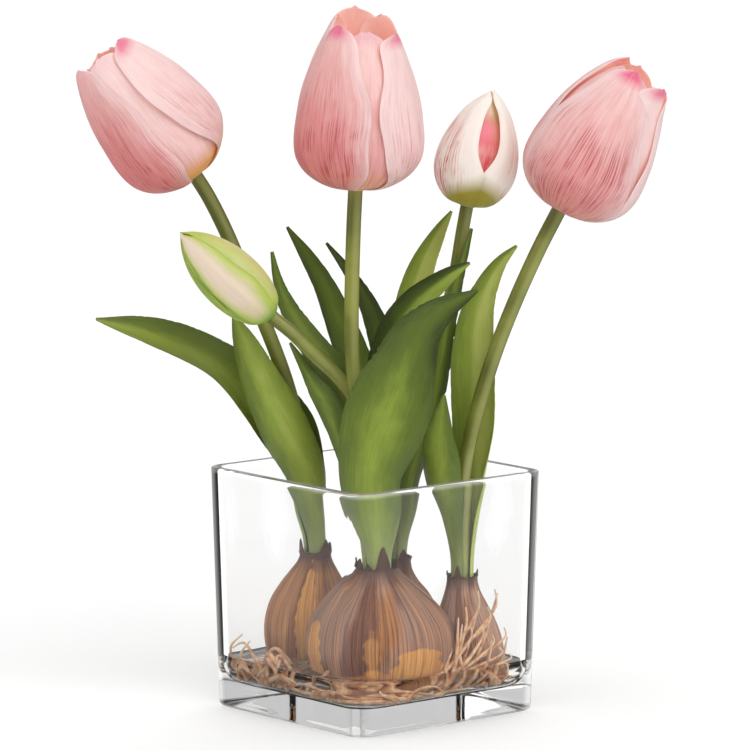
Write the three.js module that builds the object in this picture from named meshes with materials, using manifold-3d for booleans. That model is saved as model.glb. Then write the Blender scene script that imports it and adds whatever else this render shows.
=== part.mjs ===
// Tulips growing from four bulbs that stand in a little water in a square glass vase.
// Millimetres, +Z up. The origin is the middle of the vase's bottom face and the vase's
// sides lie along X and Y. The plants are laid out in a front frame, which looks straight
// at one corner of the vase: +X to the right, +Y away from that corner.

import * as THREE from 'three';
import { mergeVertices } from 'three/addons/utils/BufferGeometryUtils.js';
import Module from 'manifold-3d';

const wasm = await Module();
wasm.setup();

// ---------------------------------------------------------------- driving dimensions
const GAP = 0.3; // clearance between pieces that touch
const FRONT_TURN = -40; // degrees from the front frame to the vase's own axes

const VASE = {
  height: 99.5,
  bottomSide: 96.4,
  topSide: 100,
  wall: 4,
  floor: 10,
  corner: 9,
  edge: 1,
  floorRound: 7,
};
const WATER_LEVEL = 20;

const BULB = { sides: 18, foot: 12.4, lipWall: 0.8, lipPeaks: 4 };
const ROOT = { radius: 0.7, steps: 5, plateThickness: 1.75 };
const LEAF = { thickness: 0.8, along: 14, across: 4 };
const RIPPLE = { height: 0.7, halfWaves: 5, edgeShift: 0.8, start: 0.3 };
const PETAL = { thickness: 0.9, along: 7, across: 4, droop: 0.02, tipStart: 0.6 };
const LAYER_GAP = 1.7; // from the outer petals to the inner ones
const STEM_SIDES = 8;

const COLOURS = {
  glass: 0xdfe6e6,
  water: 0xd6dcd4,
  tunic: 0x7a5442,
  root: 0xb98a58,
  stem: 0x77803a,
  leaf: 0x5f7a2c,
  darkLeaf: 0x4c6227,
  petal: 0xe3a9a4,
  bud: 0xe9dcc0,
};

// ---------------------------------------------------------------- small geometry tools
const radians = THREE.MathUtils.degToRad;

// A smooth curve through rows of numbers, read at t from 0 (first row) to 1 (last row).
function through(rows, t) {
  const last = rows.length - 1;
  const place = Math.min(Math.max(t, 0), 1) * last;
  const i = Math.min(Math.floor(place), last - 1);
  const s = place - i;
  const before = rows[Math.max(i - 1, 0)];
  const after = rows[Math.min(i + 2, last)];
  return rows[i].map((b, k) => {
    const c = rows[i + 1][k];
    const slopeIn = (c - before[k]) / (i > 0 ? 2 : 1);
    const slopeOut = (after[k] - b) / (i + 2 <= last ? 2 : 1);
    const bend = 3 * (c - b) - 2 * slopeIn - slopeOut;
    const close = 2 * (b - c) + slopeIn + slopeOut;
    return b + s * (slopeIn + s * (bend + s * close));
  });
}

// A geometry from points and triangles, turned so that its faces point out.
function closedGeometry(points, triangles) {
  let volume = 0;
  for (const [a, b, c] of triangles) {
    volume += points[a].dot(points[b].clone().cross(points[c]));
  }
  const index = triangles.flatMap(([a, b, c]) => (volume > 0 ? [a, b, c] : [a, c, b]));
  const geometry = new THREE.BufferGeometry();
  const coordinates = points.flatMap((p) => [p.x, p.y, p.z]);
  geometry.setAttribute('position', new THREE.Float32BufferAttribute(coordinates, 3));
  geometry.setIndex(index);
  return geometry;
}

// A closed body through rings of equally many points, with a fan over each end.
function loft(rings) {
  const count = rings[0].length;
  const points = rings.flat();
  const triangles = [];
  for (let r = 0; r + 1 < rings.length; r += 1) {
    for (let i = 0; i < count; i += 1) {
      const a = r * count + i;
      const b = r * count + ((i + 1) % count);
      triangles.push([a, b, b + count], [a, b + count, a + count]);
    }
  }
  const middle = (ring) => {
    const sum = ring.reduce((total, p) => total.add(p), new THREE.Vector3());
    return sum.divideScalar(count);
  };
  const start = points.push(middle(rings[0])) - 1;
  const end = points.push(middle(rings.at(-1))) - 1;
  const lastRing = (rings.length - 1) * count;
  for (let i = 0; i < count; i += 1) {
    const next = (i + 1) % count;
    triangles.push([start, next, i], [end, lastRing + i, lastRing + next]);
  }
  return closedGeometry(points, triangles);
}

// A thin blade on a surface(u, v), with u across from -1 to 1 and v along from 0 to 1.
// Both faces share one split into triangles.
function blade(surface, along, across, thickness) {
  const nudge = 1e-3;
  const points = [];
  for (const side of [-0.5, 0.5]) {
    for (let j = 0; j <= along; j += 1) {
      for (let i = 0; i <= across; i += 1) {
        const u = (2 * i) / across - 1;
        const v = j / along;
        const du = surface(u + nudge, v).sub(surface(u - nudge, v));
        const low = Math.max(v - nudge, 0);
        const dv = surface(u, Math.min(v + nudge, 1)).sub(surface(u, low));
        const normal = du.cross(dv).normalize();
        points.push(surface(u, v).addScaledVector(normal, side * thickness));
      }
    }
  }
  const row = across + 1;
  const sheet = row * (along + 1);
  const triangles = [];
  for (let j = 0; j < along; j += 1) {
    for (let i = 0; i < across; i += 1) {
      const a = j * row + i;
      triangles.push([a, a + 1, a + row + 1], [a, a + row + 1, a + row]);
      triangles.push([a + sheet, a + row + 1 + sheet, a + 1 + sheet]);
      triangles.push([a + sheet, a + row + sheet, a + row + 1 + sheet]);
    }
  }
  const rim = [];
  for (let i = 0; i < across; i += 1) rim.push(i);
  for (let j = 0; j < along; j += 1) rim.push(j * row + across);
  for (let i = across; i > 0; i -= 1) rim.push(along * row + i);
  for (let j = along; j > 0; j -= 1) rim.push(j * row);
  rim.forEach((a, k) => {
    const b = rim[(k + 1) % rim.length];
    triangles.push([a, a + sheet, b + sheet], [a, b + sheet, b]);
  });
  return closedGeometry(points, triangles);
}

function toSolid(geometry) {
  const bare = geometry.clone();
  bare.deleteAttribute('normal');
  bare.deleteAttribute('uv');
  const merged = mergeVertices(bare, 1e-4);
  return new wasm.Manifold(
    new wasm.Mesh({
      numProp: 3,
      vertProperties: Float32Array.from(merged.attributes.position.array),
      triVerts: Uint32Array.from(merged.index.array),
    }),
  );
}

function toGeometry(solid) {
  const mesh = solid.getMesh();
  const geometry = new THREE.BufferGeometry();
  geometry.setAttribute('position', new THREE.Float32BufferAttribute(mesh.vertProperties, 3));
  geometry.setIndex(Array.from(mesh.triVerts));
  return geometry;
}

// The largest body alone: scraps go, and a sealed hollow, being a body of its own, is filled.
function largest(solid) {
  return solid.decompose().sort((a, b) => b.volume() - a.volume())[0];
}

function fuse(geometries) {
  const whole = geometries.map(toSolid).reduce((all, one) => all.add(one));
  return toGeometry(largest(whole));
}

// ---------------------------------------------------------------- scene graph
const model = new THREE.Group();
const plants = new THREE.Group();
plants.rotation.z = radians(FRONT_TURN);
model.add(plants);

function addPiece(group, name, geometry, color, roughness, opacity = 1) {
  const transparent = opacity < 1;
  const material = new THREE.MeshStandardMaterial({ color, roughness, opacity, transparent });
  const mesh = new THREE.Mesh(geometry, material);
  mesh.name = name;
  group.add(mesh);
}

// ---------------------------------------------------------------- glass vase and water
function roundedSquare(half, corner, z) {
  const ring = [];
  const perCorner = 5;
  for (let quarter = 0; quarter < 4; quarter += 1) {
    const middle = new THREE.Vector2(half - corner, half - corner);
    middle.rotateAround(new THREE.Vector2(), (quarter * Math.PI) / 2);
    for (let k = 0; k < perCorner; k += 1) {
      const angle = ((quarter + k / (perCorner - 1)) * Math.PI) / 2;
      const x = middle.x + corner * Math.cos(angle);
      const y = middle.y + corner * Math.sin(angle);
      ring.push(new THREE.Vector3(x, y, z));
    }
  }
  return ring;
}

const outerHalf = (z) => THREE.MathUtils.lerp(VASE.bottomSide, VASE.topSide, z / VASE.height) / 2;
const innerHalf = (z) => outerHalf(z) - VASE.wall;
const innerCorner = VASE.corner - VASE.wall;

// Rings of the hollow's lower part, drawn in by an inset, from the floor up to the round's top.
function floorRings(inset) {
  const round = VASE.floorRound;
  const rings = [];
  for (const turn of [0, 30, 60, 90]) {
    const z = VASE.floor + round * (1 - Math.cos(radians(turn)));
    const half = innerHalf(z) - round * (1 - Math.sin(radians(turn)));
    rings.push(roundedSquare(half - inset, innerCorner, z + inset));
  }
  return rings;
}

function vaseGeometry() {
  const { height, edge, corner } = VASE;
  const outside = [
    roundedSquare(outerHalf(0) - edge, corner - edge, 0),
    roundedSquare(outerHalf(edge), corner, edge),
    roundedSquare(outerHalf(height - edge), corner, height - edge),
    roundedSquare(outerHalf(height) - edge, corner - edge, height),
  ];
  const inside = [
    roundedSquare(innerHalf(height) + edge, innerCorner + edge, height),
    roundedSquare(innerHalf(height - edge), innerCorner, height - edge),
    ...floorRings(0).reverse(),
  ];
  return loft([...outside, ...inside]);
}

function waterBlock() {
  const surface = roundedSquare(innerHalf(WATER_LEVEL) - GAP, innerCorner, WATER_LEVEL);
  return loft([...floorRings(GAP), surface]);
}

// ---------------------------------------------------------------- bulbs
// Rows run up the bulb: height, half width, half depth, middle x, middle y.
// The neck is a cup with a ragged lip, in which the shoots stand.
const BULBS = {
  front: {
    rows: [
      [12.4, 8, 7, 1, -21.5],
      [14, 17, 14, 1.6, -21.5],
      [18, 24, 19.3, 2.2, -21.5],
      [24, 28.2, 22.4, 2.4, -21.5],
      [31, 29.3, 23.4, 2.4, -21.5],
      [39, 27.8, 22.4, 2.2, -21.4],
      [46, 23.6, 19.8, 1.6, -21.1],
      [51, 18.8, 16.6, 1, -20.7],
      [55, 14.6, 13.8, 0.5, -20.4],
      [59, 10.4, 11.4, 0.2, -20.1],
      [62, 8.2, 10, 0, -20],
    ],
    lip: { z: 64.5, peak: 4.5, turn: 70, flare: 0.3 },
    cup: 60.5,
  },
  left: {
    rows: [
      [12.4, 6, 5, -25, 14],
      [14, 11, 9.4, -25.2, 14],
      [18, 15.6, 12.8, -25.4, 14],
      [24, 18.2, 14.6, -25.5, 14],
      [31, 18.6, 15, -25.5, 14],
      [37, 18, 14.6, -25.3, 14],
      [43, 16.4, 13.6, -24.9, 14],
      [49, 13.4, 11.6, -24.3, 14],
      [54, 10.2, 9.2, -23.7, 14],
      [58, 7.6, 7.4, -23.2, 14],
      [61, 6.4, 6.4, -23, 14],
    ],
    lip: { z: 64, peak: 4, turn: 20, flare: 0.3 },
    cup: 59.5,
  },
  right: {
    rows: [
      [12.4, 6, 6, 37, 1],
      [14, 10.6, 10.6, 37.5, 1],
      [17.5, 13, 13, 38, 1],
      [23, 14, 14, 38, 1],
      [30, 13.4, 13.4, 37.3, 1],
      [37, 11.7, 11.7, 36.4, 0.6],
      [43, 9.4, 9.4, 35.6, 0.3],
      [48, 7.4, 7.4, 35.1, 0],
      [52, 6.4, 6.4, 34.9, 0],
      [55, 6.3, 6.3, 34.9, 0],
    ],
    lip: { z: 57.5, peak: 3.5, turn: 55, flare: 0.3 },
    cup: 53,
  },
  back: {
    rows: [
      [12.4, 6.5, 6.5, 8.5, 29],
      [14, 11.6, 11.6, 8.5, 29],
      [18, 15.2, 15.2, 8.5, 29],
      [25, 16.9, 16.9, 8.5, 29],
      [32, 16.8, 16.8, 8.5, 29],
      [38, 15.4, 15.4, 8.4, 29],
      [43, 12.8, 12.8, 8.2, 28.8],
      [47.5, 9.4, 9.4, 7.9, 28.4],
      [52, 7.2, 7.2, 7.6, 28.1],
      [56, 6.4, 6.4, 7.5, 28],
    ],
    lip: { z: 59.5, peak: 3.5, turn: 10, flare: 0.4 },
    cup: 54.5,
  },
};

function ellipseRing(halfWidth, halfDepth, x, y, height) {
  return Array.from({ length: BULB.sides }, (_, i) => {
    const angle = (2 * Math.PI * i) / BULB.sides;
    const px = x + halfWidth * Math.cos(angle);
    const py = y + halfDepth * Math.sin(angle);
    return new THREE.Vector3(px, py, height(angle));
  });
}

function bulbGeometry({ rows, lip, cup }, grow = 0) {
  const rings = rows.map(([z, halfWidth, halfDepth, x, y]) =>
    ellipseRing(halfWidth + grow, halfDepth + grow, x, y, () => z - grow),
  );
  const [, neckA, neckB, x, y] = rows.at(-1);
  const a = neckA + lip.flare + grow;
  const b = neckB + lip.flare + grow;
  const ragged = (angle) => {
    const wave = 0.5 + 0.5 * Math.cos(BULB.lipPeaks * (angle - radians(lip.turn)));
    return lip.z + lip.peak * wave ** 2;
  };
  const wall = BULB.lipWall + grow;
  rings.push(ellipseRing(a, b, x, y, ragged));
  rings.push(ellipseRing(a - wall, b - wall, x, y, ragged));
  rings.push(ellipseRing(neckA - wall, neckB - wall, x, y, () => cup));
  return loft(rings);
}

// ---------------------------------------------------------------- roots
// Each root leaves the plate under its bulb: bearing, sweep, reach, height of its tip
// and how far it arches up on the way.
const ROOTS = {
  front: {
    plate: [1, -21.5, 7],
    squash: 0.8,
    spread: [
      [205, 18, 29, 12.4, 1],
      [222, -24, 31, 13, 3],
      [240, 16, 35, 12.4, 2],
      [257, 12, 35, 14, 2],
      [284, -22, 33, 13, 2],
      [304, 8, 27, 12.2, 0],
    ],
  },
  left: {
    plate: [-25, 14, 5],
    squash: 0.9,
    spread: [
      [172, 16, 22, 26, 0],
      [194, 14, 26, 15, 5],
      [210, 14, 25, 29, 0],
      [228, -16, 24, 14, 6],
      [246, 18, 21, 17, 3],
      [272, 10, 20, 25, 0],
    ],
  },
  right: {
    plate: [37, 1, 5],
    squash: 1,
    spread: [
      [248, 18, 18, 41, 0],
      [262, 14, 18, 49, 0],
      [276, 12, 18.5, 44, 0],
      [290, 10, 19, 48, 0],
      [304, 12, 20, 33, 0],
      [318, 14, 21, 30, 0],
      [338, 10, 20, 17, 2],
      [90, 14, 18, 22, 0],
    ],
  },
  back: {
    plate: [8.5, 29, 5.5],
    squash: 1,
    spread: [
      [75, 16, 19.5, 18, 2],
      [105, 16, 21, 26, 0],
      [135, 14, 21, 24, 0],
      [330, 12, 20, 36, 0],
      [8, -12, 19.5, 26, 0],
    ],
  },
};
const PLATE_TOP = BULB.foot - 1.2 * GAP;

function rootRoute([x, y, plateRadius], squash, [bearing, sweep, reach, tip, arch], grow) {
  const points = [];
  const low = PLATE_TOP - ROOT.plateThickness / 2;
  for (let k = 0; k <= ROOT.steps; k += 1) {
    const s = k / ROOT.steps;
    const out = plateRadius / 2 + (reach - plateRadius / 2) * (1 - (1 - s) ** 1.7);
    const angle = radians(bearing + sweep * s * s);
    const z = low + (tip - low) * s ** 4 + arch * Math.sin(Math.PI * s) ** 4;
    const across = squash * out * Math.sin(angle);
    points.push(new THREE.Vector3(x + out * Math.cos(angle), y + across, z));
  }
  const end = points.at(-1);
  end.addScaledVector(end.clone().sub(points.at(-2)).normalize(), grow);
  return new THREE.CatmullRomCurve3(points);
}

function rootParts({ plate, squash, spread }, grow = 0) {
  const [x, y, radius] = plate;
  const bottom = PLATE_TOP - ROOT.plateThickness;
  const disc = [bottom - grow, PLATE_TOP + grow].map((z) =>
    ellipseRing(radius + grow, radius + grow, x, y, () => z),
  );
  const section = new THREE.Shape();
  const size = ROOT.radius + 3 * grow; // a triangle's flats move out by half as much as its corners
  for (const corner of [0, 1, 2]) {
    const angle = (2 * Math.PI * corner) / 3;
    const point = [size * Math.cos(angle), size * Math.sin(angle)];
    if (corner === 0) section.moveTo(...point);
    else section.lineTo(...point);
  }
  const options = { steps: ROOT.steps, bevelEnabled: false };
  const roots = spread.map((row) => {
    const extrudePath = rootRoute(plate, squash, row, grow);
    return new THREE.ExtrudeGeometry(section, { ...options, extrudePath });
  });
  return [loft(disc), ...roots];
}

// ---------------------------------------------------------------- stems
// Points up the middle of each stem, and its radius.
const STEMS = {
  left: {
    radius: 3,
    points: [
      [-23, 14, 60],
      [-24, 14, 76],
      [-27.5, 13, 94],
      [-30.5, 12, 110],
      [-35, 11, 129],
      [-40.2, 10, 145],
      [-48.8, 9, 167],
      [-59.6, 10.6, 193],
      [-67.4, 11.6, 209],
      [-73.5, 9.2, 219.4],
    ],
  },
  centre: {
    radius: 3,
    points: [
      [0.4, -23.6, 61],
      [-1.4, -23, 90],
      [-4.9, -22, 115],
      [-8.4, -21, 141],
      [-9.4, -20, 160],
      [-9.2, -18, 180],
      [-8.6, -16, 200],
      [-7.9, -14, 215.2],
    ],
  },
  closed_bud: {
    radius: 2.8,
    points: [
      [-0.3, -16.5, 61],
      [-0.6, -14.6, 88],
      [-2.6, -12.4, 109],
      [-7, -12, 127],
      [-14.5, -12.8, 138.5],
      [-24, -15, 148],
      [-33, -17.4, 157.5],
      [-41.2, -19, 164.4],
    ],
  },
  half_open: {
    radius: 2.7,
    points: [
      [7.5, 28, 55.2],
      [9.6, 27.4, 77],
      [14, 26.3, 99],
      [20.6, 25.2, 124],
      [26, 24.2, 145],
      [30, 23.6, 162],
      [33.4, 23, 178],
      [35.8, 22, 193],
      [37.8, 21, 204.6],
    ],
  },
  right: {
    radius: 3.1,
    points: [
      [34.9, 0, 53.4],
      [35.4, 0, 78],
      [37, 0, 99],
      [40.2, 0, 116],
      [44.2, 0, 132],
      [48.8, 0, 149],
      [57.8, 0, 169.5],
      [66.8, 0, 189.6],
      [74.9, 0, 205.6],
    ],
  },
};

function stemGeometry({ radius, points }) {
  const section = new THREE.Shape();
  for (let i = 0; i < STEM_SIDES; i += 1) {
    const angle = (2 * Math.PI * i) / STEM_SIDES;
    const corner = [radius * Math.cos(angle), radius * Math.sin(angle)];
    if (i === 0) section.moveTo(...corner);
    else section.lineTo(...corner);
  }
  const extrudePath = new THREE.CatmullRomCurve3(points.map((p) => new THREE.Vector3(...p)));
  const steps = points.length + 3;
  return new THREE.ExtrudeGeometry(section, { steps, bevelEnabled: false, extrudePath });
}

// ---------------------------------------------------------------- leaves
// Rows run up the midrib: x, y, z, half width along the blade, half of the angle that the
// blade wraps round, and the bearing that its hollow side looks towards.
const LEAVES = {
  left_arching: [
    [-25.7, 17.2, 60.2, 6.6, 90, -50],
    [-26.4, 17.4, 69, 7, 88, -50],
    [-28.6, 18.8, 79, 8.8, 84, -52],
    [-30.6, 20.6, 95, 11.2, 78, -60],
    [-38, 21.4, 110, 15.2, 58, -54],
    [-51.4, 18.2, 126, 14.8, 44, -32],
    [-65, 12, 140.5, 12, 36, -16],
    [-80, 8, 149.5, 9.2, 34, -10],
    [-97, 3, 156.5, 5.8, 30, -10],
    [-114, -2, 161.5, 0.6, 18, -10],
  ],
  left_upright: [
    [-20.9, 10.3, 60.2, 4.5, 60, 118],
    [-21.6, 9.7, 69, 4.8, 60, 114],
    [-23.6, 8.2, 80, 6.4, 60, 106],
    [-29, 3.8, 98, 10, 54, 92],
    [-36, 0.2, 112, 11.4, 44, 84],
    [-43, 0, 127, 10, 34, 80],
    [-49, -0.5, 140.5, 8, 28, 80],
    [-54, 0, 153, 4.8, 22, 80],
    [-58, 1, 163, 0.6, 14, 80],
  ],
  front_broad: [
    [0.6, -28.2, 61, 6.4, 74, 90],
    [0.5, -28.6, 69, 7.4, 74, 90],
    [-0.4, -29.6, 83, 12.6, 68, 90],
    [-1.6, -31, 100, 14.6, 50, 92],
    [2, -33, 116, 17.6, 36, 94],
    [7, -34.4, 131, 18.2, 30, 96],
    [11.6, -35.6, 145, 14.6, 28, 98],
    [17.6, -37.4, 160, 10, 26, 100],
    [27.6, -40.4, 170.5, 5.8, 24, 104],
    [41.4, -44, 179, 0.6, 16, 108],
  ],
  front_left_short: [
    [-5.3, -20.6, 61, 2.3, 20, 10],
    [-7, -19.6, 81, 3.2, 24, 26],
    [-9.6, -17.4, 98, 4.6, 28, 50],
    [-13.8, -15.4, 113, 5.8, 28, 60],
    [-19, -13, 127, 5.8, 24, 66],
    [-23.6, -11.4, 134.5, 4.6, 20, 70],
    [-28.2, -10, 142, 2.8, 16, 70],
    [-34.6, -8, 152.6, 0.6, 12, 70],
  ],
  front_left_slender: [
    [-3.6, -13.6, 61, 3, 40, -40],
    [-5.2, -11.4, 80, 4, 38, -46],
    [-7, -7.4, 100, 6.4, 38, -60],
    [-9.6, -4, 120, 7.6, 34, -70],
    [-16.4, -2, 138, 7.2, 30, -76],
    [-27.2, -1, 153, 5.6, 26, -80],
    [-35.8, 0, 167, 3.7, 22, -84],
    [-39.8, 0, 178, 2, 18, -86],
    [-42, 0, 189, 0.7, 14, -86],
  ],
  front_right_folded: [
    [3.3, -14, 61, 3.2, 42, -145],
    [5.2, -12, 80, 4.2, 40, -140],
    [6.8, -9.6, 97, 6.2, 42, -134],
    [6, -8, 113, 8, 40, -118],
    [5, -8.4, 130, 8.6, 38, -104],
    [5.4, -10.4, 146, 8.6, 40, -94],
    [9, -13, 160, 7.8, 44, -88],
    [16, -15.4, 170.5, 6.8, 48, -84],
    [25, -17.4, 178.5, 5, 48, -80],
    [32, -19, 183.5, 3, 40, -80],
    [38.6, -20, 187, 0.6, 20, -80],
  ],
  back_left: [
    [3.3, 28.1, 55.2, 2.2, 30, -2],
    [3.9, 28, 66, 2.5, 30, -6],
    [4, 28.2, 77, 4, 34, -14],
    [2.6, 28, 94, 6, 34, -30],
    [-0.6, 26.4, 115, 7.6, 34, -50],
    [-6.4, 23.6, 135, 7.6, 32, -66],
    [-12.6, 20.6, 152, 7, 28, -74],
    [-20, 18, 171, 4.8, 24, -80],
    [-27.4, 16, 184.5, 3.2, 20, -84],
    [-36, 14, 197.5, 0.6, 14, -86],
  ],
  back_narrow: [
    [6.2, 32, 55.2, 2, 27, -72],
    [7.2, 31.9, 66, 2.2, 27, -76],
    [7, 35.2, 77, 3.4, 28, -80],
    [8, 39.6, 94, 5, 30, -86],
    [8, 42, 114, 6, 30, -90],
    [6, 41, 134, 6.2, 30, -92],
    [2, 39, 150, 5.4, 28, -94],
    [-4, 37, 165, 3.8, 26, -94],
    [-11.4, 35, 177, 2.2, 22, -94],
    [-20, 33, 188.5, 0.6, 14, -94],
  ],
  back_tall: [
    [10.6, 30.8, 55.2, 2, 27, -138],
    [11.7, 30.6, 66, 2.2, 27, -136],
    [13.6, 31.8, 77, 3.8, 32, -132],
    [14.2, 33.8, 94, 5.4, 32, -120],
    [13.6, 35.4, 114, 6.6, 32, -106],
    [13.6, 36.6, 134, 7.2, 32, -96],
    [14, 37.4, 152, 7.6, 34, -88],
    [15.6, 37.4, 166, 7, 38, -82],
    [20, 37, 180, 5.6, 40, -80],
    [26, 36, 192, 3.4, 36, -80],
    [31.8, 35, 201.5, 0.6, 20, -80],
  ],
  back_ragged: [
    [10.5, 25, 55.2, 2.6, 36, 135],
    [11.5, 24.5, 66, 2.8, 36, 132],
    [13.6, 22.4, 77, 3.8, 34, 124],
    [15.4, 19.6, 92, 4.4, 32, 112],
    [19.4, 16.6, 108, 4.9, 28, 104],
    [24, 14.4, 123.5, 4.7, 25, 100],
    [27, 13.5, 138.5, 4.4, 22, 98],
    [29.4, 13.7, 153, 3.8, 20, 96],
    [32, 14.6, 166, 3, 18, 96],
    [35.4, 16, 180, 2.2, 16, 96],
    [39.8, 17, 196.5, 0.7, 12, 96],
  ],
  right_tall: [
    [37.9, 3, 53.6, 6.5, 88, 225],
    [38.2, 3.2, 64, 6.8, 88, 225],
    [39.4, 4.4, 79, 9.2, 86, 228],
    [41.2, 7, 97, 11, 78, 240],
    [41.8, 9.4, 114, 10.8, 62, 254],
    [41, 10, 130, 10.4, 50, 262],
    [40.6, 10, 147, 9.6, 44, 266],
    [42.2, 9, 163, 7.4, 40, 268],
    [46.2, 8.2, 174.5, 5, 38, 270],
    [51.4, 8, 183.5, 2.9, 34, 270],
    [58.2, 8, 190.5, 0.6, 18, 270],
  ],
  right_short: [
    [31.2, -2.1, 53.6, 4.3, 56, 30],
    [30.9, -2.4, 64, 4.4, 56, 32],
    [29, -4, 78, 6.4, 58, 46],
    [27, -7, 91, 8.4, 50, 66],
    [26.8, -8.4, 102, 8.4, 38, 78],
    [26.2, -9, 112, 6.8, 30, 84],
    [27, -8.6, 121, 4.2, 24, 86],
    [28.4, -8, 131, 0.6, 14, 86],
  ],
};

function leafSurface(rows) {
  return (u, t) => {
    const [x, y, z, half, wrap, bearing] = through(rows, t);
    const step = 1e-3;
    const ahead = new THREE.Vector3(...through(rows, Math.min(t + step, 1)));
    const behind = new THREE.Vector3(...through(rows, Math.max(t - step, 0)));
    const tangent = ahead.sub(behind).normalize();
    const facing = radians(bearing);
    const hollow = new THREE.Vector3(Math.cos(facing), Math.sin(facing), 0);
    hollow.addScaledVector(tangent, -hollow.dot(tangent)).normalize();
    const across = tangent.clone().cross(hollow);
    const angle = radians(wrap);
    const radius = half / angle;
    const turn = u * angle;
    const free = Math.sin(Math.PI * Math.max((t - RIPPLE.start) / (1 - RIPPLE.start), 0));
    const wave = Math.sin(RIPPLE.halfWaves * Math.PI * t + Math.sign(u) * RIPPLE.edgeShift);
    const ripple = RIPPLE.height * free * u * u * wave;
    return new THREE.Vector3(x, y, z)
      .addScaledVector(across, radius * Math.sin(turn))
      .addScaledVector(hollow, radius * (1 - Math.cos(turn)) + ripple);
  };
}

// ---------------------------------------------------------------- flowers
// A flower's own frame: its axis from the stem's end, and a side that faces the front.
// Cup rows run up the flower: height and radius, for a flower 1 high.
const OPEN_CUP = [
  [0.01, 0.03],
  [0.03, 0.16],
  [0.1, 0.27],
  [0.2, 0.335],
  [0.32, 0.352],
  [0.46, 0.34],
  [0.6, 0.317],
  [0.74, 0.278],
  [0.86, 0.232],
  [0.95, 0.19],
  [1, 0.155],
];
const HALF_OPEN_CUP = [
  [0.01, 0.04],
  [0.04, 0.17],
  [0.12, 0.26],
  [0.24, 0.322],
  [0.38, 0.338],
  [0.54, 0.315],
  [0.7, 0.255],
  [0.84, 0.175],
  [0.94, 0.085],
  [1, 0.015],
];
const CLOSED_CUP = [
  [0.01, 0.04],
  [0.05, 0.13],
  [0.14, 0.19],
  [0.28, 0.228],
  [0.44, 0.24],
  [0.6, 0.224],
  [0.76, 0.18],
  [0.9, 0.11],
  [1, 0.03],
];
// Half of the angle that a petal covers, from its root to its tip.
const OPEN_SPAN = [28, 44, 54, 57, 57, 55, 49, 41, 30, 17, 4];
const BUD_SPAN = [40, 58, 66, 66, 63, 57, 49, 38, 24, 8];
const PARTED_SPAN = [36, 52, 55, 53, 44, 40, 40, 44, 50, 12];

// Each petal: bearing round the axis (0 faces the front, + to the right), share of the
// cup's radius, share of its height, and how far its tip leans in (+) or out (-).
const FLOWERS = {
  tulip_left: {
    base: [-73.9, 9, 220],
    lean: [-37.5, 16],
    height: 67,
    cup: OPEN_CUP,
    span: OPEN_SPAN,
    fullness: 1.03,
    outer: [
      [-62, 0.93, 1, 0],
      [64, 1.06, 1, 0],
      [178, 0.97, 0.95, 0.3],
    ],
    inner: [
      [2, 0.98, 0.95, 0.1],
      [122, 1, 0.95, 0.2],
      [-118, 0.94, 0.93, 0.1],
    ],
  },
  tulip_centre: {
    base: [-7.4, -14, 215.8],
    lean: [1.5, 0],
    height: 74,
    cup: OPEN_CUP,
    span: OPEN_SPAN,
    fullness: 1,
    outer: [
      [-49, 0.98, 0.91, 0],
      [72, 1.04, 0.87, -0.25],
      [196, 0.98, 1, 0.1],
    ],
    inner: [
      [13, 0.98, 0.88, 0.1],
      [134, 1, 0.96, -0.15],
      [-108, 0.96, 0.96, 0],
    ],
  },
  tulip_right: {
    base: [74.9, 0, 206.4],
    lean: [29, 4],
    height: 68,
    cup: OPEN_CUP,
    span: OPEN_SPAN,
    fullness: 1.05,
    outer: [
      [-6, 1, 0.97, 0.25],
      [114, 1.08, 0.94, -0.6],
      [-126, 0.97, 1.0, 0.35],
    ],
    inner: [
      [54, 1, 0.95, -0.1],
      [174, 0.98, 0.98, 0.1],
      [-66, 0.97, 0.95, 0.3],
    ],
  },
  bud_half_open: {
    base: [38, 21, 205.2],
    lean: [12, 0],
    height: 49.5,
    cup: HALF_OPEN_CUP,
    span: PARTED_SPAN,
    fullness: 1,
    core: { width: 0.86, height: 0.93 },
    outer: [
      [-45, 1, 0.98, 0],
      [69, 1, 1, 0],
      [188, 1, 0.98, 0],
    ],
    inner: [],
  },
  bud_closed: {
    base: [-41.8, -19.2, 165],
    lean: [-47, 5],
    height: 51,
    cup: CLOSED_CUP,
    span: BUD_SPAN,
    fullness: 1,
    outer: [
      [-8, 1.09, 1, 0],
      [116, 1.02, 0.98, 0],
      [-124, 1.02, 0.98, 0],
    ],
    inner: [],
  },
};
// The solid middle that carries the petals: radius and height up from the stem's end.
const SEAT = [
  [0, 0.1],
  [3.2, 0.1],
  [5, 1.6],
  [4.2, 4.4],
  [0, 5.4],
];

// The turn that takes a flower's own upright frame to its lean: sideways, then forwards.
function leanTurn([sideways, forwards]) {
  return new THREE.Matrix4()
    .makeRotationY(radians(sideways))
    .multiply(new THREE.Matrix4().makeRotationX(radians(forwards)));
}

function petalSurface(flower, [bearing, share, tall, leanIn], layerGap) {
  const spans = flower.span.map((angle) => [angle]);
  return (u, v) => {
    const [rise, out] = through(flower.cup, v);
    const [half] = through(spans, v);
    const angle = radians(bearing + u * half);
    const tipLean = leanIn * Math.max(v - PETAL.tipStart, 0) ** 2;
    const spread = flower.height * flower.fullness * (out * share - tipLean);
    const radius = spread - layerGap * Math.min(4 * v, 1);
    const droop = PETAL.droop * u * u * Math.sin(Math.PI * v);
    const height = flower.height * (rise * tall - droop) + layerGap * (1 - v);
    return new THREE.Vector3(radius * Math.sin(angle), -radius * Math.cos(angle), height);
  };
}

function turned(outline, sides) {
  const points = outline.map(([radius, height]) => new THREE.Vector2(radius, height));
  return new THREE.LatheGeometry(points, sides).rotateX(Math.PI / 2);
}

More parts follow.
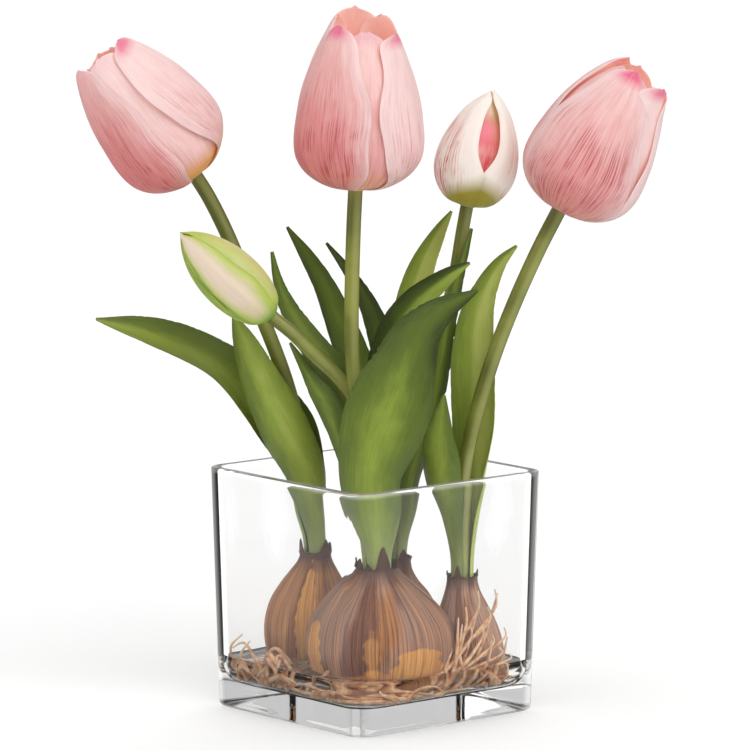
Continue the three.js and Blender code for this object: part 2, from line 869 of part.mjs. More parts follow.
function flowerGeometry(flower) {
  const petal = (row, gap) =>
    blade(petalSurface(flower, row, gap), PETAL.along, PETAL.across, PETAL.thickness);
  const outer = flower.outer.map((row) => petal(row, 0));
  const inner = flower.inner.map((row) => petal(row, LAYER_GAP));
  const middle = [turned(SEAT, 10)];
  if (flower.core) {
    const { width, height } = flower.core;
    const last = flower.cup.length - 1;
    const outline = flower.cup.map(([rise, out], i) => [
      i === 0 || i === last ? 0 : out * width * flower.height,
      rise * height * flower.height,
    ]);
    middle.push(turned(outline, 14));
  }
  return fuse([...outer, ...inner, ...middle])
    .applyMatrix4(leanTurn(flower.lean))
    .translate(...flower.base);
}

// ---------------------------------------------------------------- assembly
addPiece(model, 'vase', vaseGeometry(), COLOURS.glass, 0.05, 0.3);

let water = toSolid(waterBlock().rotateZ(radians(-FRONT_TURN)));
for (const side of Object.keys(BULBS)) {
  addPiece(plants, `bulb_${side}`, bulbGeometry(BULBS[side]), COLOURS.tunic, 0.6);
  addPiece(plants, `roots_${side}`, fuse(rootParts(ROOTS[side])), COLOURS.root, 0.8);
  water = water.subtract(toSolid(bulbGeometry(BULBS[side], GAP)));
  for (const part of rootParts(ROOTS[side], GAP)) water = water.subtract(toSolid(part));
}
addPiece(plants, 'water', toGeometry(largest(water)), COLOURS.water, 0.05, 0.5);

for (const [name, stem] of Object.entries(STEMS)) {
  addPiece(plants, `stem_${name}`, stemGeometry(stem), COLOURS.stem, 0.5);
}
for (const [name, rows] of Object.entries(LEAVES)) {
  const leaf = blade(leafSurface(rows), LEAF.along, LEAF.across, LEAF.thickness);
  const colour = name.startsWith('back') ? COLOURS.darkLeaf : COLOURS.leaf;
  addPiece(plants, `leaf_${name}`, leaf, colour, 0.5);
}
for (const [name, flower] of Object.entries(FLOWERS)) {
  const colour = name.startsWith('bud') ? COLOURS.bud : COLOURS.petal;
  addPiece(plants, name, flowerGeometry(flower), colour, 0.5);
}

export default model;
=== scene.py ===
# Tulips growing from four bulbs in a square glass vase with a little water in its base.
import bpy
import math
import numpy as np
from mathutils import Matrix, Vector


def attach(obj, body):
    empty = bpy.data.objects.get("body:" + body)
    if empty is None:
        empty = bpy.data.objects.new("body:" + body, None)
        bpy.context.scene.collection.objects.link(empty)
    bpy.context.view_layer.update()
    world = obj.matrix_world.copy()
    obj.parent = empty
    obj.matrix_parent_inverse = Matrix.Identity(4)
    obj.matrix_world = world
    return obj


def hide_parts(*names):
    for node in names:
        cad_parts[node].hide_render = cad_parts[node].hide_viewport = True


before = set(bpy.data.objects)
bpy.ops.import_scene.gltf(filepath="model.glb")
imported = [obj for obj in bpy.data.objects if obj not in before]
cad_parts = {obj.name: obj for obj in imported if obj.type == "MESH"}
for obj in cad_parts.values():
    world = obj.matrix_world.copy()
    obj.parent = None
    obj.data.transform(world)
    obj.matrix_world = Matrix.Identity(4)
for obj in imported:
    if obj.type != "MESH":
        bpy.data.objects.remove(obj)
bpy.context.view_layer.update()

# ---- Studio ----------------------------------------------------------------
# A wide pale floor under a white sky, with a soft lamp high on the right and weaker ones on the
# left and behind. The camera looks at one corner of the vase from a little above.
MM = 0.001  # a millimetre in metres
FRONT_TURN = math.radians(40)  # from the vase's own axes to the front view's axes
EYE, AIM, LENS = [0.11, -2473.3, 502.5], [0.11, 0, 138.1], 292.9  # the camera, in front millimetres
SKY_LIGHT, SKY_LOOK = 0.62, 1.1  # the sky lights less than it shows
FLOOR_HALF, FLOOR_LEVEL = 12, -2e-4  # metres


def turned(x, y, angle):
    """x and y turned about the origin by an angle in radians."""
    return x * math.cos(angle) - y * math.sin(angle), x * math.sin(angle) + y * math.cos(angle)


def from_front(points):
    """Millimetres seen from the front (x right, y away, z up) to the vase's axes in metres."""
    p = np.asarray(points, float) * MM
    return np.stack([*turned(p[..., 0], p[..., 1], -FRONT_TURN), p[..., 2]], axis=-1)


def tint(red, green, blue):
    """A colour given as on a paint chart, 0 to 255, in the renderer's linear light."""
    return tuple((c / 255) ** 2.2 for c in (red, green, blue)) + (1.0,)


class Shade:
    """One output in a node tree. Arithmetic on it adds Math nodes."""

    def __init__(self, tree, output=None):
        self.tree, self.output = tree, output

    def node(self, kind, settings=None, inputs=None, out=0):
        made = self.tree.nodes.new(kind)
        for key, value in (settings or {}).items():
            setattr(made, key, value)
        for key, value in (inputs or {}).items():
            if isinstance(value, Shade):
                self.tree.links.new(value.output, made.inputs[key])
            else:
                made.inputs[key].default_value = value
        return Shade(self.tree, made.outputs[out] if made.outputs else None)

    def math(self, operation, *values):
        return self.node("ShaderNodeMath", {"operation": operation}, dict(enumerate(values)))

    def __add__(self, other):
        return self.math("ADD", self, other)

    def __sub__(self, other):
        return self.math("SUBTRACT", self, other)

    def __rsub__(self, other):
        return self.math("SUBTRACT", other, self)

    def __mul__(self, other):
        return self.math("MULTIPLY", self, other)

    __radd__ = __add__

    def held(self):
        """Kept between 0 and 1."""
        return self.node("ShaderNodeMath", {"operation": "ADD", "use_clamp": True}, {0: self, 1: 0.0})

    def rise(self, low, high):
        """0 below low, 1 above high, smooth between."""
        smooth = {"interpolation_type": "SMOOTHSTEP"}
        return self.node("ShaderNodeMapRange", smooth, {0: self, 1: low, 2: high})

    def mix(self, first, second):
        """The first colour where this is 0, the second where it is 1."""
        return self.node("ShaderNodeMix", {"data_type": "RGBA"}, {0: self, 6: first, 7: second}, 2)

    def ray(self, kind):
        """1 for light paths of this kind, 0 for others."""
        return self.node("ShaderNodeLightPath", out=f"Is {kind} Ray")

    def note(self, label, out=1):
        """Numbers kept on the piece's points: 1 reads a vector, 2 a single value."""
        return self.node("ShaderNodeAttribute", {"attribute_name": label}, out=out)

    def part(self, axis):
        return self.node("ShaderNodeSeparateXYZ", inputs={0: self}, out=axis)

    def stretch(self, x, y, z):
        return self.node("ShaderNodeVectorMath", {"operation": "MULTIPLY"}, {0: self, 1: (x, y, z)})

    def grain(self, scale, detail=3.0, roughness=0.55):
        """Noise read at this vector."""
        inputs = {"Vector": self, "Scale": scale, "Detail": detail, "Roughness": roughness}
        return self.node("ShaderNodeTexNoise", inputs=inputs)


def new_finish(name):
    finish = bpy.data.materials.new(name)
    finish.use_nodes = True
    finish.node_tree.nodes.clear()
    return finish, Shade(finish.node_tree)


def lay(start, relief=None, depth=0.0, **sockets):
    """The finish's surface, with an optional relief in metres."""
    inputs = {key.replace("_", " "): value for key, value in sockets.items()}
    if relief is not None:
        bump = {"Height": relief, "Strength": 1.0, "Distance": depth}
        inputs["Normal"] = start.node("ShaderNodeBump", inputs=bump)
    surface = start.node("ShaderNodeBsdfPrincipled", inputs=inputs)
    start.node("ShaderNodeOutputMaterial", inputs={"Surface": surface})


def dim_in_glass(start, seen, reflected):
    """Grey levels for a part of the studio: as seen, and as mirrored in the glass."""
    rays = {0: start.ray("Glossy"), 1: start.ray("Transmission")}
    mirrored = start.node("ShaderNodeMath", {"operation": "SUBTRACT", "use_clamp": True}, rays)
    return mirrored.mix((seen, seen, seen, 1), (reflected, reflected, reflected, 1))


scene = bpy.context.scene
scene.view_settings.view_transform = "Standard"
eye, aim = Vector(from_front(EYE)), Vector(from_front(AIM))
camera = bpy.data.objects.new("camera", bpy.data.cameras.new("camera"))
camera.data.lens = LENS
camera.data.sensor_width = 36
camera.data.clip_end = 100
camera.location = eye
camera.rotation_euler = (aim - eye).to_track_quat("-Z", "Y").to_euler()
scene.collection.objects.link(camera)
scene.camera = camera

sky = bpy.data.worlds.new("sky")
sky.use_nodes = True
start = Shade(sky.node_tree)
light_and_look = {"Value": start.ray("Camera"), "To Min": SKY_LIGHT, "To Max": SKY_LOOK}
strength = start.node("ShaderNodeMapRange", inputs=light_and_look)
for label, shade in (("Color", dim_in_glass(start, 1.0, 0.25)), ("Strength", strength)):
    sky.node_tree.links.new(shade.output, sky.node_tree.nodes["Background"].inputs[label])
scene.world = sky

for name, place, spread, power in (
    ("lamp_right", (900, -1300, 1700), 50, 1.5),
    ("lamp_left", (-1500, -500, 1300), 70, 0.6),
    ("lamp_back", (300, 1500, 1500), 60, 0.5),
):
    lamp = bpy.data.objects.new(name, bpy.data.lights.new(name, "SUN"))
    lamp.data.angle = math.radians(spread)
    lamp.data.energy = power
    lamp.location = from_front(place)
    lamp.rotation_euler = (aim - lamp.location).to_track_quat("-Z", "Y").to_euler()
    scene.collection.objects.link(lamp)

floor_mesh = bpy.data.meshes.new("floor")
corners = [(x * FLOOR_HALF, y * FLOOR_HALF, FLOOR_LEVEL) for x, y in ((-1, -1), (1, -1), (1, 1), (-1, 1))]
floor_mesh.from_pydata(corners, [], [(0, 1, 2, 3)])
floor = bpy.data.objects.new("floor", floor_mesh)
scene.collection.objects.link(floor)
floor_paint, start = new_finish("floor_paint")
lay(start, Base_Color=dim_in_glass(start, 0.93, 0.18), Roughness=1.0)
floor_mesh.materials.append(floor_paint)

# ---- Glass vase ------------------------------------------------------------
# A pressed, clear soda-lime cube vase: thick walls that open a little towards the rim, a
# heavy base, rounded corners and a fire-polished rim. Sizes are in millimetres.
HEIGHT, WALL, BASE = 99.5, 4, 10
FOOT, MOUTH = 96.4, 100  # the outer side at the foot and at the mouth
CORNER_FOOT, CORNER_MOUTH = 9, 7.5  # the upright corners' radius at the foot and at the mouth
HOLLOW_SHARPER = 1.7  # the hollow's corners are sharper by this much
EDGE, FLOOR_ROUND = 1.1, 7  # radius of the outer edges and of the hollow's floor edge
ARC = 9  # points round each corner
BESIDE_ARC = 1.2  # a point this far beside each corner's arc keeps the flats flat
BAND = 1.2  # the rim's and the foot's edges reach this far
CORNER_PAINTED_GLINT, RIM_PAINTED_GLINT = 0.95, 0.55  # how bright the glint painted as a glow on the glass's side corners and rim is


def half_side(z):
    return (FOOT + (MOUTH - FOOT) * z / HEIGHT) / 2


def corner_at(z):
    return CORNER_FOOT + (CORNER_MOUTH - CORNER_FOOT) * z / HEIGHT


def hollow_at(z):
    return corner_at(z) - HOLLOW_SHARPER


def rounded_square(half, corner, z):
    """One ring of the vase, level at z."""
    middle, beside = half - corner, half - corner - BESIDE_ARC
    angles = np.linspace(0, math.pi / 2, ARC)
    x = np.array([half, *(middle + corner * np.cos(angles)), beside])
    y = np.array([beside, *(middle + corner * np.sin(angles)), half])
    quarters = [np.stack(turned(x, y, quarter * math.pi / 2), -1) for quarter in range(4)]
    return np.insert(np.concatenate(quarters), 2, z, axis=1)


def bowl(grown=0.0):
    """Rings of the hollow's rounded floor edge, from the floor up to the walls."""
    rings = []
    for turn in np.linspace(0, math.pi / 2, 9):
        z = BASE + FLOOR_ROUND * (1 - math.cos(turn))
        half = half_side(z) - WALL - FLOOR_ROUND * (1 - math.sin(turn))
        rings.append(rounded_square(half + grown, hollow_at(z), z - grown))
    return rings


def skin_over(rings, first, last):
    """Points and faces of a body skinned over rings, with a point closing each end."""
    count = len(rings[0])
    size = len(rings) * count
    faces = []
    for start_ring in range(0, size - count, count):
        for i in range(count):
            a, b = start_ring + i, start_ring + (i + 1) % count
            faces.append((a, b, b + count, a + count))
    faces += [(size, (i + 1) % count, i) for i in range(count)]
    faces += [(size + 1, size - count + i, size - count + (i + 1) % count) for i in range(count)]
    return np.concatenate([*rings, [first, last]]), faces


def looks_out(points, faces):
    """Whether the faces of a closed body look out of it."""
    triangles = np.array([(f[0], f[k], f[k + 1]) for f in faces for k in range(1, len(f) - 1)])
    a, b, c = (points[triangles[:, k]] for k in range(3))
    return np.einsum("ij,ij->i", a, np.cross(b, c)).sum() > 0


def add_piece(name, points, faces, finish, notes=None):
    """A smooth mesh object from points in metres, with numbers kept on its points."""
    mesh = bpy.data.meshes.new(name)
    mesh.from_pydata(points.tolist(), [], faces)
    if not looks_out(points, faces):
        mesh.flip_normals()
    for label, values in (notes or {}).items():
        values = np.asarray(values, np.float32)
        kind, field = ("FLOAT", "value") if values.ndim == 1 else ("FLOAT_VECTOR", "vector")
        mesh.attributes.new(label, kind, "POINT").data.foreach_set(field, values.ravel())
    mesh.shade_smooth()
    mesh.materials.append(finish)
    piece = bpy.data.objects.new(name, mesh)
    scene.collection.objects.link(piece)
    return piece


def clear_finish(name, ior, clear, dense=None):
    """A clear body whose shadows let the light through, denser where it is noted, with a glint painted as a
    glow where it is noted.
    """
    finish, start = new_finish(name)
    body = start.node("ShaderNodeBsdfPrincipled", inputs={
        "Base Color": start.note("thick", 2).mix(clear, dense) if dense else clear,
        "Roughness": 0.0,
        "IOR": ior,
        "Transmission Weight": 1.0,
        "Emission Color": start.note("painted_glint", 2).mix((0, 0, 0, 1), (0.62, 0.6, 0.58, 1)),
        "Emission Strength": 0.5,
    })
    shadow = start.node("ShaderNodeBsdfTransparent", inputs={"Color": (0.93, 0.94, 0.93, 1)})
    both = start.node("ShaderNodeMixShader", inputs={0: start.ray("Shadow"), 1: body, 2: shadow})
    start.node("ShaderNodeOutputMaterial", inputs={"Surface": both})
    return finish


quarter = np.linspace(0, math.pi / 2, 6)
to_flush, from_flush = EDGE * (1 - np.sin(quarter)), EDGE * (1 - np.cos(quarter))
side_top = HEIGHT - EDGE - 1.4
rings = [rounded_square((half_side(0) - EDGE) * s, (corner_at(0) - EDGE) * s, 0) for s in (0.25, 0.6, 0.97)]
for drop, z in zip(to_flush, from_flush):
    rings.append(rounded_square(half_side(0) - drop, corner_at(0) - drop, z))
rings += [rounded_square(half_side(z), corner_at(z), z) for z in (2.4, 30, 65, side_top)]
for drop, below in zip(from_flush, to_flush):
    rings.append(rounded_square(half_side(HEIGHT) - drop, corner_at(HEIGHT) - drop, HEIGHT - below))
for drop, below in zip(to_flush, from_flush):
    rings.append(rounded_square(half_side(HEIGHT) - WALL + drop, hollow_at(HEIGHT), HEIGHT - below))
rings += [rounded_square(half_side(z) - WALL, hollow_at(z), z) for z in (side_top, 65, 30, 18.5)]
rings += bowl()[::-1]
floor_half = half_side(BASE) - WALL - FLOOR_ROUND
rings += [rounded_square(floor_half * s, hollow_at(BASE) * s, BASE) for s in (0.97, 0.6, 0.25)]
points, faces = skin_over(rings, (0, 0, 0), (0, 0, BASE))
x, y, z = points.T
at_rim = z > HEIGHT - BAND
at_foot = (z < BAND) & (np.maximum(abs(x), abs(y)) > half_side(z) - 1.6)
# A glint painted as a glow along the side corners and the rim, standing in for light caught in the glass.
from_side_corner = (2 * half_side(z) - abs(x - y)) / corner_at(z)
painted_glint = CORNER_PAINTED_GLINT * np.clip(1.05 - from_side_corner, 0, 0.3) / 0.3 + RIM_PAINTED_GLINT * at_rim
notes = {"thick": 0.1 * (at_rim | at_foot), "painted_glint": np.clip(painted_glint, 0, CORNER_PAINTED_GLINT)}
vase_glass = clear_finish("vase_glass", 1.46, (0.996, 0.999, 0.997, 1), (0.42, 0.43, 0.43, 1))
vase = add_piece("glass_vase", points * MM, faces, vase_glass, notes)
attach(vase, "root")
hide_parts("vase")

# ---- Bulbs -----------------------------------------------------------------
# Four tulip bulbs, onion-shaped, in dry papery skins of mauve brown that have peeled away to
# the ochre flesh in places. Each neck ends in a torn collar, and the shoots stand inside it.
# Rows up a bulb: height, half width, half depth, middle x, middle y. Then its collar's height,
# the collar's torn tips (bearing, width, rise) and flare, where the skin is bare (bearing,
# height, width, half height, and how worn where it isn't peeled), and the depth of its cup.
BULBS = {
    "front": {
        "rows": [
            [12.2, 12, 10, 1, -21.5], [14, 20.5, 17, 1.6, -21.5], [18, 25.5, 20.6, 2.2, -21.5],
            [24, 28.2, 22.4, 2.4, -21.5], [31, 29.3, 23.4, 2.4, -21.5], [39, 27.8, 22.4, 2.2, -21.4],
            [46, 23.6, 19.8, 1.6, -21.1], [51, 18.8, 16.6, 1, -20.7], [55, 14.6, 13.8, 0.5, -20.4],
            [59, 10.4, 11.4, 0.2, -20.1], [62, 8.2, 10, 0, -20],
        ],
        "collar": 62.5,
        "tips": [(-74, 24, 10), (-118, 9, 2.4), (-146, 11, 4.2), (20, 18, 5), (95, 20, 5.6), (170, 12, 3.4)],
        "flare": 0.5,
        "bare": [(-56, 20, 26, 13), (-155, 26, 12, 17), (-99, 31, 10, 12, 0.5)],
        "cup": 60.5,
    },
    "left": {
        "rows": [
            [12.2, 8, 7, -25, 14], [14, 13.4, 11.4, -25.2, 14], [18, 16.6, 13.8, -25.4, 14],
            [24, 18.2, 14.6, -25.5, 14], [31, 18.6, 15, -25.5, 14], [37, 18, 14.6, -25.3, 14],
            [43, 16.4, 13.6, -24.9, 14], [49, 13.4, 11.6, -24.3, 14], [54, 10.2, 9.2, -23.7, 14],
            [58, 7.6, 7.4, -23.2, 14], [61, 6.4, 6.4, -23, 14],
        ],
        "collar": 63,
        "tips": [(-152, 14, 5.4), (-50, 22, 5.6), (30, 14, 3), (110, 16, 4.2)],
        "flare": 0.5,
        "bare": [(-96, 37, 13, 21)],
        "cup": 59.5,
    },
    "right": {
        "rows": [
            [12.4, 6, 6, 37, 1], [14, 10.6, 10.6, 37.5, 1], [17.5, 13, 13, 38, 1],
            [23, 14, 14, 38, 1], [30, 13.4, 13.4, 37.3, 1], [37, 11.7, 11.7, 36.4, 0.6],
            [43, 9.4, 9.4, 35.6, 0.3], [48, 7.4, 7.4, 35.1, 0], [52, 6.4, 6.4, 34.9, 0],
            [55, 6.3, 6.3, 34.9, 0],
        ],
        "collar": 55.2,
        "tips": [(-108, 15, 5.2), (10, 16, 2.4), (100, 18, 3.6), (-170, 14, 2)],
        "flare": 0.3,
        "bare": [],
        "cup": 53,
    },
    "back": {
        "rows": [
            [12.4, 6.5, 6.5, 8.5, 29], [14, 11.6, 11.6, 8.5, 29], [18, 15.2, 15.2, 8.5, 29],
            [25, 16.9, 16.9, 8.5, 29], [32, 16.8, 16.8, 8.5, 29], [38, 15.4, 15.4, 8.4, 29],
            [43, 12.8, 12.8, 8.2, 28.8], [47.5, 9.4, 9.4, 7.9, 28.4], [52, 7.2, 7.2, 7.6, 28.1],
            [56, 6.4, 6.4, 7.5, 28],
        ],
        "collar": 58,
        "tips": [(-60, 18, 4), (-150, 16, 3), (60, 18, 3.4), (150, 14, 4)],
        "flare": 0.4,
        "bare": [(60, 30, 18, 12)],
        "cup": 54.5,
    },
}


def through(rows, t):
    """A smooth curve through rows of numbers, read at t from 0 (first row) to 1 (last row)."""
    rows = np.asarray(rows, float)
    last = len(rows) - 1
    place = np.clip(t, 0, 1) * last
    i = np.minimum(place.astype(int), last - 1)
    s = (place - i)[..., None]
    a, b, c, d = rows[np.maximum(i - 1, 0)], rows[i], rows[i + 1], rows[np.minimum(i + 2, last)]
    slope_in = (c - a) / np.where(i > 0, 2, 1)[..., None]
    slope_out = (d - b) / np.where(i + 2 <= last, 2, 1)[..., None]
    bend, close = 3 * (c - b) - 2 * slope_in - slope_out, 2 * (b - c) + slope_in + slope_out
    return b + s * (slope_in + s * (bend + s * close))


def apart(angle, other):
    """Degrees between two bearings."""
    return np.abs((angle - other + 180) % 360 - 180)


def wobble(x, seed, waves=5):
    """A smooth, repeatable unevenness round a ring, about -1 to 1, for x in degrees."""
    random = np.random.default_rng(seed)
    total = 0
    for wave in range(1, waves):
        size, pace, shift = random.uniform(-1, 1), random.integers(1, 4), random.uniform(0, 6.3)
        total = total + size * np.sin(np.radians(x) * wave * pace + shift)
    return total / waves ** 0.5


def tunic_finish(name, colours):
    """Papery skin over flesh, both streaked up the bulb, with patches of painted sheen for highlights on the
    skin.
    """
    skin, dark, gold, flesh, flesh_dark, painted_sheen = (tint(*colour) for colour in colours)
    finish, start = new_finish(name)
    around = start.note("around")
    bare, neck, foot = (start.note(label, 2) for label in ("bare", "neck", "foot"))
    broad = around.stretch(2.4, 2.4, 0.5).grain(1.5, 3, 0.5)
    bands = around.stretch(17, 17, 0.32).grain(2.4, 4, 0.6)
    threads = around.stretch(42, 42, 0.3).grain(3.0, 3, 0.55)
    sheen_patches = around.stretch(1.3, 1.3, 0.5).grain(1.4, 2, 0.4)
    cloth = (broad.rise(0.46, 0.64) * 0.75).mix(skin, gold)
    # Patches of painted sheen: a lighter colour standing in for highlights on the glossy skin.
    cloth = (sheen_patches.rise(0.45, 0.58) * 0.55).mix(cloth, painted_sheen)
    cloth = (bands.rise(0.47, 0.64) * 0.66).mix(cloth, dark)
    cloth = (threads.rise(0.5, 0.64) * 0.46).mix(cloth, dark)
    cloth = ((1 - bands).rise(0.58, 0.7) * 0.45).mix(cloth, gold)
    cloth = (neck * 0.85).mix(cloth, tint(78, 54, 50))
    meat = bands.rise(0.42, 0.7).mix(flesh, flesh_dark)
    meat = (threads.rise(0.52, 0.64) * 0.6).mix(meat, tint(128, 78, 40))
    shows = (bare + foot * (0.75 + (bands - 0.5) * 1.6)).held()
    colour = shows.rise(0.35, 0.65).mix(cloth, meat)
    relief = bands * 0.5 + threads * 0.5
    lay(start, relief, 0.0005, Base_Color=colour, Roughness=0.4 + broad * 0.2,
        Specular_IOR_Level=0.15, Coat_Weight=0.12, Coat_Roughness=0.2)
    return finish


# Each bulb's colours: skin, dark streaks, gold streaks, flesh, flesh's streaks, and a lighter painted sheen
# for highlights.
TUNICS = {
    "front": [(124, 76, 56), (50, 26, 20), (198, 126, 64), (226, 162, 92), (162, 98, 50), (194, 152, 128)],
    "left": [(160, 98, 54), (62, 34, 22), (226, 156, 80), (232, 168, 92), (174, 108, 52), (206, 148, 104)],
    "right": [(142, 94, 78), (66, 38, 34), (196, 132, 86), (206, 144, 82), (158, 98, 52), (228, 188, 164)],
    "back": [(136, 80, 52), (70, 40, 28), (198, 122, 62), (206, 138, 66), (160, 90, 40), (190, 146, 114)],
}
BULB_SIDES, BULB_STEPS = 168, 96
SPREAD_UP = 2.2  # how far the skin's pattern runs from foot to neck
# The collar's rings: share of its rise and how far inside it lies.
COLLAR = [(0.25, 0), (0.5, 0), (0.75, 0), (1, 0), (1, 0.5), (0.5, 0.5), (0, 0.5)]
theta = np.linspace(-180, 180, BULB_SIDES, endpoint=False)
cos, sin, level_ring = np.cos(np.radians(theta)), np.sin(np.radians(theta)), 0 * theta


def oval(x, y, a, b, z):
    """A level ring about x and y with half axes a and b."""
    return np.stack([x + a * cos, y + b * sin, z + level_ring], -1)


def bareness(patches, number, z):
    """How bare a bulb is round its ring at height z, from 0 to 1."""
    bare = level_ring
    for bearing, middle, width, tall, *worn in patches:
        ragged = 0.12 * wobble(theta * 2, 7 * number + int(middle), 6) + 0.1 * math.sin(z * 1.1 + bearing)
        reach = np.sqrt((apart(theta, bearing) / width) ** 2 + ((z - middle) / tall) ** 2)
        soft, most = (0.5, worn[0]) if worn else (0.12, 1)
        bare = np.maximum(bare, most * np.clip((1.06 + ragged - reach) / soft, 0, 1))
    return bare


for number, (side, bulb) in enumerate(BULBS.items()):
    lip = bulb["collar"] + 0.35 * wobble(theta * 3, 40 + number, 7)
    for bearing, width, rise in bulb["tips"]:
        lip = lip + rise * np.clip(1 - (apart(theta, bearing) / width) ** 1.2, 0, 1)
    ridges = 0.22 * wobble(theta * 4, 11 + number, 8) + 0.3 * wobble(theta, 21 + number)
    foot_line = 23.5 + 1.5 * wobble(theta, 31 + number)
    rings, levels, around = [], [], []
    steps = np.linspace(0, 1, BULB_STEPS)
    profile = through(bulb["rows"], steps)
    for t, (z, a, b, x, y) in zip(steps, profile):
        bare = bareness(bulb["bare"], number, z)
        grow = ridges * math.sin(math.pi * t) - 0.35 * bare
        rings.append(oval(x, y, a + grow, b + grow, z))
        neck = level_ring + np.clip((t - 0.8) / 0.2, 0, 1)
        levels.append([bare, neck, np.clip((foot_line - z) / 4, 0, 1)])
        around.append(oval(0, 0, 1, 1, SPREAD_UP * t))
    top = profile[-1][0]
    flare = bulb["flare"] * (1 + 0.8 * wobble(theta * 2, 61 + number))
    collar = [(flare * share - inset, top + share * (lip - top)) for share, inset in COLLAR]
    for step, (out, z) in enumerate(collar + [(-0.8, bulb["cup"])]):
        rings.append(oval(x, y, a + out, b + out, z))
        levels.append([level_ring, level_ring + 1, level_ring])
        around.append(oval(0, 0, 1, 1, SPREAD_UP + 0.1 * step))
    points, faces = skin_over(rings, profile[0][[3, 4, 0]], (x, y, bulb["cup"]))
    bare, neck, foot = np.moveaxis(np.array(levels), 1, 0).reshape(3, -1)
    notes = {
        "bare": np.append(bare, [0, 0]),
        "neck": np.append(neck, [0, 1]),
        "foot": np.append(foot, [1, 0]),
        "around": np.concatenate([*around, [(0, 0, 0), (0, 0, 3)]]),
    }
    skin = tunic_finish("tunic_" + side, TUNICS[side])
    piece = add_piece("bulb_skin_" + side, from_front(points), faces, skin, notes)
    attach(piece, "root")
    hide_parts("bulb_" + side)

# ---- Water -----------------------------------------------------------------
# A shallow fill of clear water with a few millimetres over the plates the roots grow from. It
# climbs a little where it meets the glass and the bulbs.
WATER_LEVEL = 20
INTO_GLASS = 0.15  # the water's sides run this far into the glass, so that no air shows between
FLAT_POINTS = 34  # points added along each flat, for the curve round the bulbs


def with_flats(ring):
    """The ring with more points along its four flats."""
    dense = []
    for i, point in enumerate(ring):
        dense.append(point)
        following = ring[(i + 1) % len(ring)]
        if i % (ARC + 2) == ARC + 1:
            dense += [point + (following - point) * k / (FLAT_POINTS + 1) for k in range(1, FLAT_POINTS + 1)]
    return np.array(dense)


def water_top(x, y, wall_gap):
    """The water's height: flat, with a rise beside the glass and round each bulb."""
    z = WATER_LEVEL + 0.9 * np.exp(-wall_gap / 1.3)
    front_x, front_y = turned(x, y, FRONT_TURN)
    for bulb in BULBS.values():
        rows = np.array(bulb["rows"])
        a, b, cx, cy = (np.interp(WATER_LEVEL, rows[:, 0], rows[:, k]) for k in (1, 2, 3, 4))
        away = (np.hypot((front_x - cx) / a, (front_y - cy) / b) - 1) * min(a, b)
        z = z + np.exp(-np.clip(away, 0, None) / 1.2)
    return z + 0.08 * np.sin(x * 0.31 + 1) * np.cos(y * 0.27)


clear_water = clear_finish("clear_water", 1.33, (0.97, 0.975, 0.965, 1))
half = half_side(WATER_LEVEL) - WALL + INTO_GLASS
rings = [with_flats(ring) for ring in bowl(INTO_GLASS)]
for inset in (0, 0.4, 0.9, 1.6, 2.6, 4, *np.arange(6, 42, 2.5)):
    share = 1 - inset / half
    ring = with_flats(rounded_square(half * share, hollow_at(WATER_LEVEL) * share, 0))
    ring[:, 2] = water_top(ring[:, 0], ring[:, 1], inset)
    rings.append(ring)
points, faces = skin_over(rings, (0, 0, BASE - INTO_GLASS), (0, 0, WATER_LEVEL + 0.05))
water = add_piece("water_fill", points * MM, faces, clear_water)
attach(water, "root")
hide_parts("water")

# ---- Roots -----------------------------------------------------------------
# Pinkish tan roots, 2 mm thick where they leave the plate under each bulb and tapering to a
# fine tip. They run over the vase's floor, curl back under the bulbs and climb the glass.


def tube_tree():
    """Geometry nodes that draw a tapered round skin along every path."""
    tree = bpy.data.node_groups.new("tube", "GeometryNodeTree")
    for label, kind in (
        ("Geometry", "Geometry"), ("Start radius", "Float"), ("End radius", "Float"),
        ("Spacing", "Float"), ("Sides", "Int"), ("Finish", "Material"),
    ):
        tree.interface.new_socket(label, in_out="INPUT", socket_type="NodeSocket" + kind)
    tree.interface.new_socket("Geometry", in_out="OUTPUT", socket_type="NodeSocketGeometry")
    start = Shade(tree)
    group = tree.nodes.new("NodeGroupInput").outputs
    paths, start_radius, end_radius, spacing, sides, finish = (Shade(tree, group[k]) for k in range(6))
    smooth = start.node("GeometryNodeCurveSplineType", {"spline_type": "CATMULL_ROM"}, {0: paths})
    even = start.node("GeometryNodeResampleCurve", {"mode": "LENGTH"}, {"Curve": smooth, "Length": spacing})
    along = start.node("GeometryNodeSplineParameter", out="Factor")
    noted = {"Geometry": even, "Name": "along", "Value": along}
    kept = start.node("GeometryNodeStoreNamedAttribute", inputs=noted)
    radii = {"Value": along.math("POWER", along, 2.2), "To Min": start_radius, "To Max": end_radius}
    size = start.node("ShaderNodeMapRange", inputs=radii)
    ring = start.node("GeometryNodeCurvePrimitiveCircle", inputs={"Resolution": sides, "Radius": 1.0})
    swept = {"Curve": kept, "Profile Curve": ring, "Scale": size, "Fill Caps": True}
    skin = start.node("GeometryNodeCurveToMesh", inputs=swept)
    soft = start.node("GeometryNodeSetShadeSmooth", inputs={"Geometry": skin})
    painted = start.node("GeometryNodeSetMaterial", inputs={"Geometry": soft, "Material": finish})
    start.node("NodeGroupOutput", inputs={"Geometry": painted})
    return tree


TUBE = tube_tree()


